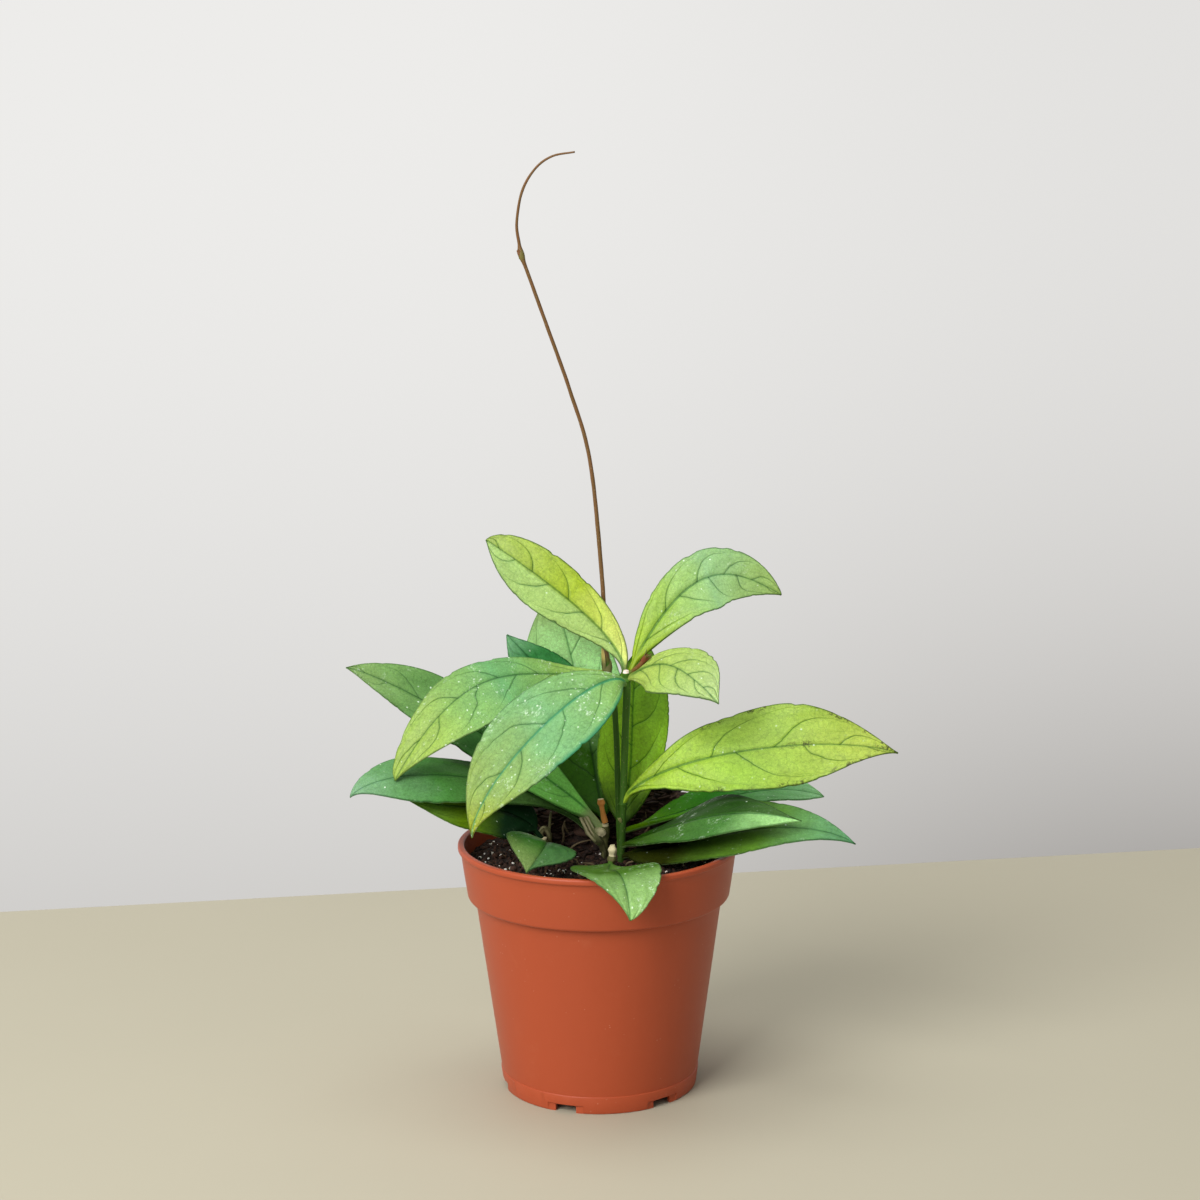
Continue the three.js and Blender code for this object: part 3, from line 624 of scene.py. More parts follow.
class Finish(Nodes):
    """A material while it is made, on one plain shader."""

    def __init__(self, name, **constants):
        self.material = bpy.data.materials.new(name)
        self.material.use_nodes = True
        super().__init__(self.material.node_tree)
        self.shader = self.tree.nodes["Principled BSDF"]
        for key, value in constants.items():
            self.shader.inputs[key.replace("_", " ")].default_value = value

    def surface(self, name, value):
        """Feeds one of the shader's own sockets."""
        self.feed(self.shader.inputs[name], value)

    def bump(self, height, strength, distance=MM):
        """Raises the surface by a height, given in millimetres unless the distance says otherwise."""
        sockets = {"Strength": strength, "Distance": distance, "Height": height}
        self.surface("Normal", self.node("Bump", {}, sockets, output="Normal"))


def select_only(piece):
    """Leaves one object selected and active."""
    bpy.ops.object.select_all(action="DESELECT")
    piece.select_set(True)
    bpy.context.view_layer.objects.active = piece


def start_piece(name):
    """Names the primitive that was just added and leaves only it selected."""
    piece = bpy.context.object
    piece.name = name
    piece.data.name = name
    select_only(piece)
    return piece


def edit(piece, mode="VERT"):
    """Opens a piece in edit mode with all of it selected."""
    select_only(piece)
    bpy.ops.object.mode_set(mode="EDIT")
    bpy.ops.mesh.select_mode(type=mode)
    bpy.ops.mesh.select_all(action="SELECT")


def close_edit(piece, merge=1e-6):
    """Merges doubles, turns all faces outwards and goes back to object mode."""
    bpy.ops.mesh.select_all(action="SELECT")
    bpy.ops.mesh.remove_doubles(threshold=merge)
    bpy.ops.mesh.normals_make_consistent(inside=False)
    bpy.ops.object.mode_set(mode="OBJECT")
    return piece


def settle(piece):
    """Puts a piece's place, turn and scale into its mesh."""
    select_only(piece)
    bpy.ops.object.transform_apply(location=True, rotation=True, scale=True)


def apply_modifier(piece, kind, **settings):
    """Adds a modifier, sets it up and applies it."""
    select_only(piece)
    modifier = piece.modifiers.new(kind.title(), kind)
    for key, value in settings.items():
        setattr(modifier, key, value)
    bpy.ops.object.modifier_apply(modifier=modifier.name)


def joined(name, pieces):
    """Several objects as one piece."""
    bpy.ops.object.select_all(action="DESELECT")
    for piece in pieces:
        piece.select_set(True)
    bpy.context.view_layer.objects.active = pieces[0]
    bpy.ops.object.join()
    piece = bpy.context.object
    piece.name = name
    piece.data.name = name
    return piece


def finished(piece, material, slot, *nodes, angle=None):
    """Gives a piece its material, shades it smooth and sets it on the frame; its slot is not used. Edges that
    turn by more than the angle, where one is given, stay sharp."""
    settle(piece)
    piece.data.materials.clear()
    piece.data.materials.append(material)
    if angle is None:
        bpy.ops.object.shade_smooth()
    else:
        bpy.ops.object.shade_smooth_by_angle(angle=math.radians(angle))
    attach(piece, "root")
    if nodes:
        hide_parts(*nodes)
    return piece


def store(piece, name, values):
    """Keeps a number or a vector for each point of a piece, for its material to read."""
    kind, key = ("FLOAT", "value") if values.ndim == 1 else ("FLOAT_VECTOR", "vector")
    attribute = piece.data.attributes.new(name, kind, "POINT")
    attribute.data.foreach_set(key, values.astype(np.float32).ravel())


def points_of(piece):
    """A piece's points as rows of x, y and z."""
    places = np.zeros(len(piece.data.vertices) * 3)
    piece.data.vertices.foreach_get("co", places)
    return places.reshape(-1, 3)


def place_points(piece, places):
    piece.data.vertices.foreach_set("co", places.ravel())
    piece.data.update()


def arc(middle, radius, first, last, steps):
    """Points of radius and height along a rounding, from one angle to another, in degrees."""
    angles = [math.radians(first + (last - first) * i / steps) for i in range(steps + 1)]
    return [(middle[0] + radius * math.cos(a), middle[1] + radius * math.sin(a)) for a in angles]


def spun(name, profile, steps):
    """A profile of radius and height, from the axis out and back, drawn as a wire by extruding one point, and
    spun round."""
    start = Vector((profile[0][0], 0, profile[0][1]))
    bpy.ops.object.select_all(action="DESELECT")
    bpy.ops.mesh.primitive_plane_add(size=MM, location=start)
    piece = start_piece(name)
    edit(piece)
    bpy.ops.mesh.merge(type="CENTER")
    for before, after in zip(profile, profile[1:]):
        move = (after[0] - before[0], 0, after[1] - before[1])
        bpy.ops.mesh.extrude_region_move(TRANSFORM_OT_translate={"value": move})
    bpy.ops.mesh.select_all(action="SELECT")
    bpy.ops.mesh.spin(steps=steps, angle=2 * math.pi, center=(0, 0, 0), axis=(0, 0, 1))
    close_edit(piece)
    settle(piece)
    return piece


def close_ends(piece, merge):
    """Fills the small rings that a spin leaves at the axis."""
    edit(piece, "EDGE")
    bpy.ops.mesh.select_all(action="DESELECT")
    bpy.ops.mesh.select_non_manifold()
    bpy.ops.mesh.edge_face_add()
    close_edit(piece, merge)


def carve(piece, cutters):
    """Cuts a piece with cutters that don't touch each other."""
    cutter = joined("cutter", cutters)
    apply_modifier(piece, "BOOLEAN", operation="DIFFERENCE", solver="EXACT", object=cutter)
    bpy.data.objects.remove(cutter)


def smooth_step(value, low, high):
    part = np.clip((value - low) / (high - low), 0, 1)
    return part * part * (3 - 2 * part)


def blend(first, last, part):
    return first + (last - first) * part


def pot_profile(pot):
    """The pot's section as radius and height, in metres: from its foot up the outside, over the lip and down
    the inside."""
    height = pot.height
    lip_bottom = height - pot.lip_height
    wall, skirt = pot.wall, pot.skirt_wall
    band_top, band_bottom = BAND_TOP_RADIUS * MM, BAND_BOTTOM_RADIUS * MM
    band_foot, body_top = BAND_BOTTOM * MM, BODY_TOP_RADIUS * MM
    base, under, floor = BASE_RADIUS * MM, FLOOR_UNDERSIDE * MM, FLOOR_TOP * MM
    foot, soft, lip, turned = FOOT_RADIUS * MM, SOFT_CORNER * MM, pot.lip_rounding, pot.band_rounding
    line, step = pot.parting_line, pot.parting_step

    def body(z):
        return base + (body_top - base) * z / band_foot

    # The body between the parting line and the band, where the mould's step fades out.
    body_side = []
    for i in range(1, 10):
        z = line + (band_foot - line) * i / 10
        body_side.append((body(z) - step * (1 - i / 10), z))
    # The band's side, which swells a little.
    band_side = []
    for i in range(1, 7):
        swell = 0.08 * MM * math.sin(math.pi * i / 6)
        z = blend(band_foot + turned, lip_bottom - 0.5 * MM, i / 6)
        band_side.append((blend(band_bottom, band_top, i / 6) + swell, z))
    return [
        # The foot in the middle, the hollow under the floor and the skirt.
        (AXIS_GAP * MM, 0), (foot - soft, 0), *arc((foot - soft, soft), soft, -60, 0, 3),
        (foot + soft, under - soft), (foot + 2 * soft, under), (base - skirt - soft, under),
        (base - skirt, under - soft), *arc((base - skirt + soft, soft), soft, 180, 270, 3),
        *arc((body(soft) - soft, soft), soft, 270, 360, 3),
        # The parting line and the body.
        (body(line) - 0.02 * MM, line - 0.1 * MM), (body(line), line),
        (body(line) - 0.1 * MM, line + 0.12 * MM), (body(line) - step, line + 0.25 * MM), *body_side,
        # The band.
        (body_top - 0.1 * MM, band_foot - 0.9 * MM), (body_top + 0.15 * MM, band_foot - 0.15 * MM),
        (body_top + 0.9 * MM, band_foot),
        *arc((band_bottom - turned, band_foot + turned), turned, 270, 357, 6), *band_side,
        # The lip.
        (band_top + 0.3 * MM, lip_bottom),
        *arc((pot.rim_radius - lip, lip_bottom + lip), lip, 285, 360, 4),
        *arc((pot.rim_radius - lip, height - lip), lip, 0, 90, 5),
        *arc((band_top - wall + lip, height - lip), lip, 90, 180, 5),
        # The inside.
        (band_bottom - wall, band_foot + 2 * wall), (band_bottom - wall - 0.5 * MM, band_foot + 1.2 * wall),
        (body_top - wall, band_foot - wall), (body(floor + 3 * MM) - wall, floor + 3 * MM),
        (body(floor) - wall - 1.2 * MM, floor + 0.6 * MM), (body(floor) - wall - 3 * MM, floor),
        (AXIS_GAP * MM, floor),
    ]


def plastic_finish(pot):
    """Satin moulded plastic: faint flow streaks, rubbed patches, specks of dust and a fine grain."""
    finish = Finish("terracotta_plastic", IOR=1.5, Specular_IOR_Level=0.3)
    place = finish.place()
    broad = finish.noise(place, 18, 3)
    flow = finish.noise(finish.stretched(place, (90, 90, 14)), 1, 3)
    grain = finish.noise(place, 2600, 2)
    rubbed = finish.smooth(finish.noise(place, 60, 5, 0.7), 0.6, 0.78)
    specks = finish.fall(finish.cells(place, 420), 0.05, 0.12)
    lone = finish.smooth(finish.noise(place, 90, 1), 0.55, 0.62)
    base = finish.mix(broad, toned(pot.plastic, 0.86), pot.plastic)
    base = finish.mix(0.25 * flow, base, toned(pot.plastic, 1.12))
    base = finish.mix(0.3 * rubbed, base, pot.plastic_worn)
    base = finish.mix(0.3 * specks * lone, base, linear("d3a98c"))
    finish.surface("Base Color", base)
    finish.surface("Roughness", pot.roughness + 0.1 * (broad - 0.5) + 0.12 * rubbed + 0.06 * (grain - 0.5))
    finish.bump(0.02 * grain + 0.12 * broad + 0.05 * flow, 0.5)
    return finish.material


def ring_of(make):
    """The same cutter at each of the notch angles."""
    return [make(NOTCH_FIRST + 2 * math.pi * i / NOTCH_COUNT) for i in range(NOTCH_COUNT)]


def skirt_cutter(size, depth):
    """Makes boxes that cut the foot from below, this wide and high, and this deep into the skirt."""
    reach = CUTTER_REACH * MM
    middle = BASE_RADIUS * MM - depth * MM + reach / 2

    def make(angle):
        bpy.ops.object.select_all(action="DESELECT")
        bpy.ops.mesh.primitive_cube_add(
            size=1, location=(middle * math.cos(angle), middle * math.sin(angle), 0), rotation=(0, 0, angle)
        )
        piece = start_piece("cutter")
        piece.scale = (reach, size[0] * MM, 2 * (size[1] * MM))
        settle(piece)
        apply_modifier(piece, "BEVEL", width=CUTTER_BEVEL * MM, segments=2)
        return piece

    return make


def drain_cutter(angle):
    """Makes a round drill for a drain hole."""
    bpy.ops.object.select_all(action="DESELECT")
    bpy.ops.mesh.primitive_cylinder_add(
        vertices=32, radius=DRAIN_RADIUS * MM, depth=4 * MM,
        location=(DRAIN_CIRCLE * MM * math.cos(angle), DRAIN_CIRCLE * MM * math.sin(angle), FLOOR_TOP * MM),
    )
    return start_piece("cutter")


class HOYA_OT_pot(bpy.types.Operator):
    """Spins the pot and cuts its notches and drain holes"""

    bl_idname = "hoya.pot"
    bl_label = "Nursery Pot"

    def execute(self, context):
        pot = context.scene.hoya_pot
        piece = spun("nursery_pot", pot_profile(pot), POT_STEPS)
        close_ends(piece, merge=0.12 * MM)
        carve(piece, ring_of(skirt_cutter(NOTCH_SIZE, NOTCH_DEPTH)))
        carve(piece, ring_of(skirt_cutter(RECESS_SIZE, RECESS_DEPTH)))
        carve(piece, ring_of(drain_cutter))
        finished(piece, plastic_finish(pot), "pot_plastic", "pot", angle=38)
        return {"FINISHED"}


def soil_height(x, y):
    """How high the soil lies at a place, in millimetres: a shallow dish with low lumps."""
    out = math.hypot(x, y) / BAND_TOP_RADIUS
    broad = math.sin(x / BROAD_LUMP) * math.cos(y / BROAD_LUMP)
    fine = math.sin((x - y) / FINE_LUMP) / 2
    rough = noise.fractal(Vector((x, y, 0)) / ROUGH_SPAN, 0.8, 2.1, 5) * ROUGH_HEIGHT
    return blend(SOIL_MIDDLE, SOIL_EDGE, out * out) + LUMP_HEIGHT * (broad + fine) + rough


def peat_finish(soil):
    """Damp peat: near black, with redder and drier crumbs and fibres."""
    finish = Finish("peat_surface", IOR=1.4)
    place = finish.place()
    tone = finish.noise(place, 420, 5, 0.7)
    patch = finish.noise(place, 60, 3)
    crumbs = finish.cells(place, 700)
    bits = finish.smooth(finish.noise(place, 1100, 3), 0.58, 0.68)
    base = finish.mix(finish.smooth(tone, 0.35, 0.75), soil.peat, soil.peat_dry)
    base = finish.mix(0.5 * finish.smooth(patch, 0.5, 0.8), base, soil.peat_dry)
    base = finish.mix(0.35 * bits, base, soil.husk)
    finish.surface("Base Color", base)
    finish.surface("Roughness", 0.78 + 0.18 * tone)
    finish.bump(0.5 * tone - 0.35 * crumbs, 0.9)
    return finish.material


class HOYA_OT_soil(bpy.types.Operator):
    """Fills the pot with a lumpy plug of peat"""

    bl_idname = "hoya.soil"
    bl_label = "Soil"

    def execute(self, context):
        soil = context.scene.hoya_soil
        top, radius = SOIL_MIDDLE * MM, SOIL_RADIUS * MM
        low, foot = (value * MM for value in SOIL_FOOT)
        bevel, gap = SOIL_FOOT_BEVEL * MM, AXIS_GAP * MM
        profile = [(gap, foot), (low - bevel, foot), (low, foot + bevel)]
        profile += [(r * MM, z * MM) for r, z in SOIL_SIDE]
        profile += [(radius * (1 - i / SOIL_RINGS), top) for i in range(SOIL_RINGS)]
        profile.append((gap, top))
        piece = spun("potting_soil", profile, SOIL_SIDES)
        close_ends(piece, merge=1e-7)
        places = points_of(piece)
        for place in places:
            if place[2] > top - 0.1 * MM:
                place[2] = soil_height(place[0] / MM, place[1] / MM) * MM
        place_points(piece, places)
        finished(piece, peat_finish(soil), "potting_soil", "soil")
        return {"FINISHED"}


def lump(name, roughness, seed, squash=(1, 1, 1)):
    """A small uneven lump, one unit in radius, with a few dozen faces."""
    bpy.ops.object.select_all(action="DESELECT")
    bpy.ops.mesh.primitive_cube_add(size=2)
    piece = start_piece(name)
    edit(piece)
    bpy.ops.mesh.subdivide(number_cuts=1)
    bpy.ops.transform.tosphere(value=0.85)
    bpy.ops.object.mode_set(mode="OBJECT")
    places = points_of(piece)
    for place in places:
        place *= 0.8 + roughness * noise.noise(Vector(place) * 1.3 + Vector((seed, 0, 0)))
    place_points(piece, places * np.array(squash))
    return piece


def scatter(name, templates, number, size, sink, seed, ground, place_of):
    """Copies of small lumps strewn over some ground, joined into one piece. Each has its own size, turn and
    tone. "ground" gives the height at a place, and "place_of" draws a place."""
    draw = random.Random(seed)
    points, faces, tones = [], [], []
    meshes = [(points_of(t), [tuple(p.vertices) for p in t.data.polygons]) for t in templates]
    for _ in range(number):
        x, y = place_of(draw)
        scale = size * draw.uniform(BIT_SMALLEST, 1.0) * (1 + BIT_EXTRA * draw.random() ** BIT_RARITY)
        places, shape = meshes[draw.randrange(len(meshes))]
        turn = Matrix.Rotation(draw.uniform(0, 2 * math.pi), 3, "Z")
        turn = turn @ Matrix.Rotation(draw.uniform(-BIT_LEAN, BIT_LEAN), 3, "X")
        middle = np.array((x * MM, y * MM, ground(x, y) * MM + scale * sink))
        first = len(points)
        placed = places * scale @ np.array(turn).T + middle
        points.extend(placed.tolist())
        faces.extend(tuple(first + corner for corner in face) for face in shape)
        tones.extend([draw.random()] * len(places))
    mesh = bpy.data.meshes.new(name)
    mesh.from_pydata(points, [], faces)
    piece = bpy.data.objects.new(name, mesh)
    bpy.context.scene.collection.objects.link(piece)
    store(piece, "tone", np.array(tones))
    for template in templates:
        bpy.data.objects.remove(template)
    return piece


def bits_finish(name, dark, light, scale, height):
    """A finish for loose bits: each bit has its own tone between two colours, and a crumbly grain."""
    finish = Finish(name, IOR=1.4)
    place = finish.place()
    tone = finish.attribute("tone", "Fac")
    grain = finish.noise(place, scale, 4, 0.7)
    pale = finish.smooth(0.65 * tone + 0.55 * grain, 0.2, 0.95)
    finish.surface("Base Color", finish.mix(pale, dark, light))
    finish.surface("Roughness", 0.85 + 0.1 * grain)
    finish.bump(height * grain, 0.8)
    return finish.material


def on_soil(draw):
    """A place anywhere on the soil."""
    reach = (SOIL_RADIUS - BIT_CLEARANCE) * math.sqrt(draw.random())
    angle = draw.uniform(0, 2 * math.pi)
    return reach * math.cos(angle), reach * math.sin(angle)


def near_front(draw):
    """A place on the soil, more often towards the front and the sides than in the middle."""
    while True:
        x, y = on_soil(draw)
        away = math.hypot(x - BARE_MIDDLE[0], y - BARE_MIDDLE[1])
        if draw.random() < blend(BARE_SHARE, 1, smooth_step(away, *BARE_REACH)):
            return x, y


def litter_height(x, y):
    """How high the heap of dry litter lies at a place, in millimetres."""
    across = (x - LITTER_MIDDLE[0]) / LITTER_REACH[0]
    away = (y - LITTER_MIDDLE[1]) / LITTER_REACH[1]
    out = min(1.0, math.hypot(across, away))
    rough = noise.fractal(Vector((x, y, 3)) / LITTER_SPAN, 0.7, 2.2, 5)
    slope = smooth_step(y, *LITTER_FRONT)
    slope *= 1 - LITTER_BACK_FALL * smooth_step(y, *LITTER_BACK)
    slope *= 1 - LITTER_LEFT_FALL * smooth_step(-x, *LITTER_LEFT)
    heap = (LITTER_HEIGHT + LITTER_ROUGHNESS * rough) * (1 - out**10) * slope
    return soil_height(x, y) - LITTER_SINK + heap


def on_litter(draw):
    """A place on the heap of dry litter, clear of the pot's wall."""
    while True:
        reach = FLAKE_REACH * math.sqrt(draw.random())
        angle = draw.uniform(0, 2 * math.pi)
        x = LITTER_MIDDLE[0] + LITTER_REACH[0] * reach * math.cos(angle)
        y = LITTER_MIDDLE[1] + LITTER_REACH[1] * reach * math.sin(angle)
        if math.hypot(x, y) < SOIL_RADIUS - FLAKE_CLEARANCE:
            return x, y


class HOYA_OT_litter(bpy.types.Operator):
    """Heaps dry litter behind the stems and sets the fine roots in it and in the soil"""

    bl_idname = "hoya.litter"
    bl_label = "Dry Litter"

    def execute(self, context):
        soil = context.scene.hoya_soil
        bpy.ops.object.select_all(action="DESELECT")
        bpy.ops.mesh.primitive_circle_add(vertices=LITTER_SIDES, radius=1, fill_type="NGON")
        heap = start_piece("litter_heap")
        edit(heap, "FACE")
        for _ in range(LITTER_RINGS):
            bpy.ops.mesh.inset(thickness=1 / (LITTER_RINGS + 1), depth=0)
        bpy.ops.mesh.poke()
        bpy.ops.mesh.select_all(action="SELECT")
        bpy.ops.mesh.extrude_region_move(TRANSFORM_OT_translate={"value": (0, 0, -1)})
        bpy.ops.object.mode_set(mode="OBJECT")
        places = points_of(heap)
        for place in places:
            x = LITTER_MIDDLE[0] + LITTER_REACH[0] * place[0]
            y = LITTER_MIDDLE[1] + LITTER_REACH[1] * place[1]
            z = litter_height(x, y) if place[2] > -0.5 else SOIL_MIDDLE - LITTER_DEPTH
            place[:] = x * MM, y * MM, z * MM
        place_points(heap, places)
        edit(heap)
        close_edit(heap)
        finished(heap, peat_finish(soil), "potting_soil")

        flake = [lump(f"flake_{i}", 0.5, 60 + i * 4.4, (2.2, 1.3, 0.35)) for i in range(4)]
        flakes = scatter(
            "litter_flakes", flake, soil.flakes, soil.flake_size, sink=0.4, seed=31, ground=litter_height,
            place_of=on_litter,
        )
        flaky = bits_finish("litter_flakes", toned(soil.peat, 1.3), soil.peat_dry, scale=900, height=0.3)
        finished(flakes, flaky, "potting_soil")

        draw = random.Random(ROOT_SEED)
        roots = []
        for i, (x, y, z, lean, reach) in enumerate(FINE_ROOTS):
            turn = draw.uniform(-0.6, 0.6)
            points = []
            for t, radius in ROOT_TAPER:
                aside = x + reach * lean * t + ROOT_SWAY * math.sin(4 * t + i)
                points.append((aside, y + 2 * turn * t, z + reach * t - ROOT_DROOP * t * t, radius))
            roots.append(shoot(f"root_{i}", points, 18, sides=8, rough=0.5, seed=i))
        woody = stem_finish("fine_roots", linear("3a2b1c"), linear("75664a"), rough=0.75)
        finished(joined("fine_roots", roots), woody, "potting_soil")
        return {"FINISHED"}


class HOYA_OT_loose_bits(bpy.types.Operator):
    """Strews peat crumbs, white grains and husks over the soil"""

    bl_idname = "hoya.loose_bits"
    bl_label = "Crumbs, Perlite and Husks"

    def execute(self, context):
        soil = context.scene.hoya_soil
        crumb = [lump(f"crumb_{i}", 0.7, i * 7.3) for i in range(5)]
        crumbs = scatter(
            "peat_crumbs", crumb, soil.crumbs, soil.crumb_size, sink=0.25, seed=11, ground=soil_height,
            place_of=on_soil,
        )
        peat = bits_finish("peat_crumbs", soil.peat, toned(soil.peat_dry, 1.25), scale=1500, height=0.25)
        finished(crumbs, peat, "potting_soil")
        grain = [lump(f"grain_{i}", 0.45, 40 + i * 5.1) for i in range(4)]
        grains = scatter(
            "perlite", grain, soil.grains, soil.grain_size, sink=0.55, seed=5, ground=soil_height,
            place_of=near_front,
        )
        white = bits_finish("perlite", linear("cfc8ba"), soil.perlite, scale=2600, height=0.1)
        finished(grains, white, "potting_soil")
        sliver = [lump(f"sliver_{i}", 0.35, 90 + i * 3.7, (2.6, 0.55, 0.4)) for i in range(4)]
        husks = scatter(
            "husks", sliver, soil.husks, soil.husk_size, sink=0.6, seed=23, ground=soil_height,
            place_of=on_soil,
        )
        bark = bits_finish("bark_husks", linear("4b3524"), soil.husk, scale=1800, height=0.15)
        finished(husks, bark, "potting_soil")
        return {"FINISHED"}


def spline(points, part):
    """The curve through the points, and its radius, at a share of its way."""
    last = len(points) - 1
    at = min(int(part * last), last - 1)
    near = part * last - at
    rows = [np.array(points[min(max(at + i, 0), last)], float) for i in (-1, 0, 1, 2)]
    if at == 0:
        rows[0] = 2 * rows[1] - rows[2]
    if at == last - 1:
        rows[3] = 2 * rows[2] - rows[1]
    a, b, c, d = rows
    bent = (2 * a - 5 * b + 4 * c - d) * near**2
    value = 0.5 * ((2 * b) + (c - a) * near + bent + (3 * b - a - 3 * c + d) * near**3)
    value[3] = max(0.02, blend(b[3], c[3], near * near * (3 - 2 * near)))
    return value


def shoot(name, points, steps, sides=20, rough=0.06, seed=0):
    """A round shoot through its points: a tube, extruded ring by ring, with both ends closed."""
    bpy.ops.object.select_all(action="DESELECT")
    bpy.ops.mesh.primitive_cylinder_add(vertices=sides, radius=1, depth=1, end_fill_type="NGON")
    piece = start_piece(name)
    edit(piece, "FACE")
    bpy.ops.mesh.select_all(action="DESELECT")
    bpy.ops.object.mode_set(mode="OBJECT")
    for face in piece.data.polygons:
        face.select = face.normal.z > 0.9
    bpy.ops.object.mode_set(mode="EDIT")
    for _ in range(steps - 1):
        bpy.ops.mesh.extrude_region_move(TRANSFORM_OT_translate={"value": (0, 0, 1)})
    bpy.ops.object.mode_set(mode="OBJECT")
    rings = points_of(piece)
    shares = np.round(rings[:, 2] + 0.5) / steps
    places = np.zeros_like(rings)
    centres, frames = [], []
    side = np.array((0.0, 1.0, 0.0))
    for i in range(steps + 1):
        at = i / steps
        here = spline(points, at)
        ahead = spline(points, min(1, at + LOOK_AHEAD)) - spline(points, max(0, at - LOOK_AHEAD))
        along = ahead[:3] / np.linalg.norm(ahead[:3])
        across = np.cross(side, along)
        across /= np.linalg.norm(across)
        centres.append(here)
        frames.append((across, np.cross(along, across)))
    for k, (x, y, _) in enumerate(rings):
        i = int(round(shares[k] * steps))
        centre, (across, beside) = centres[i], frames[i]
        uneven = 1 + rough * noise.noise(Vector((x * 1.5 + seed, y * 1.5, centre[2] * 0.25)))
        places[k] = (centre[:3] + centre[3] * uneven * (x * across + y * beside)) * MM
    place_points(piece, places)
    store(piece, "along", shares)
    return piece


def stem_finish(name, low, high, end=None, end_from=0.985, streak=0.5, node_tint=None, node_at=0.5,
                rough=0.5, start=0.0, step=0.35):
    """A young stem: streaked along its length, with fine pores. Its colour turns from low to high over a step
    of its way, and may have its own tint at a node and at its cut end."""
    finish = Finish(name, IOR=1.45, Specular_IOR_Level=0.25)
    place = finish.place()
    along = finish.attribute("along", "Fac")
    streaks = finish.noise(finish.stretched(place, (1400, 1400, 60)), 1, 3)
    blotch = finish.noise(place, 180, 3)
    pores = finish.smooth(finish.cells(finish.stretched(place, (900, 900, 500)), 1), 0.0, 0.25)
    base = finish.mix(finish.smooth(along + 0.2 * step * (blotch - 0.5), start, start + step), low, high)
    base = finish.mix(streak * streaks, base, toned(low, 0.55))
    base = finish.mix(0.25 * (1 - pores), base, linear("c2b48a"))
    if node_tint is not None:
        at_node = finish.fall(abs(along - node_at), 0.01, 0.035)
        base = finish.mix(0.85 * at_node, base, node_tint)
    if end is not None:
        base = finish.mix(finish.smooth(along, end_from, end_from + 0.012), base, end)
    finish.surface("Base Color", base)
    finish.surface("Roughness", rough + 0.2 * (streaks - 0.5))
    finish.bump(0.08 * streaks - 0.05 * (1 - pores) + 0.08 * blotch, 0.6)
    return finish.material


def scale_leaf(name, reach, width, lift):
    """A small pointed scale that hugs a bud: a sheet shaped like a cupped blade, given its thickness."""
    bpy.ops.object.select_all(action="DESELECT")
    bpy.ops.mesh.primitive_grid_add(x_subdivisions=8, y_subdivisions=6, size=1)
    piece = start_piece(name)
    places = points_of(piece)
    along, side = places[:, 0] + 0.5, 2 * places[:, 1]
    half = width * (np.sin(np.pi * np.clip(0.12 + 0.88 * along, 0, 1)) ** 0.8 + 0.02)
    turn = side * SCALE_WRAP
    cup = width * 0.9
    places[:, 0] = half * np.sin(turn)
    places[:, 1] = -cup * np.cos(turn) * (1 - 0.35 * along) - lift * along**2
    places[:, 2] = reach * along
    place_points(piece, places)
    apply_modifier(piece, "SOLIDIFY", thickness=SCALE_THICKNESS * MM, offset=0)
    apply_modifier(piece, "SUBSURF", levels=1, render_levels=1)
    return piece


def bud_scales(name, base, direction, number, reach, width, seed, splay=0.1):
    """Scales set round a bud's axis, each a copy of one, turned and a little shorter than the last."""
    draw = random.Random(seed)
    axis = Vector(direction).normalized()
    aim = axis.to_track_quat("Z", "Y").to_matrix().to_4x4()
    first = scale_leaf(name, reach, width, splay * reach)
    copies = []
    for i in range(number):
        piece = first.copy()
        piece.data = first.data.copy()
        bpy.context.scene.collection.objects.link(piece)
        shrink = 1 - 0.1 * (i % 3) - 0.06 * draw.random()
        lift = Vector(base) + axis * reach * SCALE_LIFT * (i // 2)
        turn = Matrix.Rotation(SCALE_TURN * i, 4, "Z")
        piece.matrix_world = Matrix.Translation(lift) @ aim @ turn @ Matrix.Scale(shrink, 4)
        copies.append(piece)
    bpy.data.objects.remove(first)
    bpy.context.view_layer.update()
    piece = joined(name, copies)
    settle(piece)
    heights = points_of(piece) - np.array(base)
    store(piece, "along", np.clip(heights @ np.array(axis) / (reach * 1.3), 0, 1))
    return piece


class HOYA_OT_main_stem(bpy.types.Operator):
    """Models the cut upright stem, the brown bud at its top and a small bud on its side"""

    bl_idname = "hoya.main_stem"
    bl_label = "Main Stem and Buds"

    def execute(self, context):
        stems = context.scene.hoya_stems
        green, brown = stems.green, stems.bud
        stem = shoot("main_stem", MAIN_STEM, 90, rough=0.1)
        finish = stem_finish("main_stem", toned(green, 0.35), green, end=stems.cut, end_from=0.93)
        finished(stem, finish, "stem_green", "stem_main", angle=50)
        stalk = shoot("bud_stalk", BUD_STALK, 24, sides=14)
        finished(stalk, stem_finish("bud_stalk", green, brown, start=0.1), "stem_green")
        base = Vector(BUD_STALK[2][:3])
        aim = Vector(BUD_STALK[3][:3]) - base
        scales = bud_scales(
            "bud_scales", base * MM, aim, number=6, reach=5.6 * MM, width=1.15 * MM, seed=3, splay=0.2
        )
        finished(scales, stem_finish("bud_scales", brown, linear("5f6e34"), start=0.45), "stem_green")
        side_bud = bud_scales(
            "side_bud", Vector(SIDE_BUD) * MM, (-0.5, -0.8, 1), number=4, reach=2.6 * MM, width=0.7 * MM,
            seed=8,
        )
        finished(side_bud, stem_finish("side_bud", linear("8ca04c"), linear("b9b878")), "stem_green")
        return {"FINISHED"}


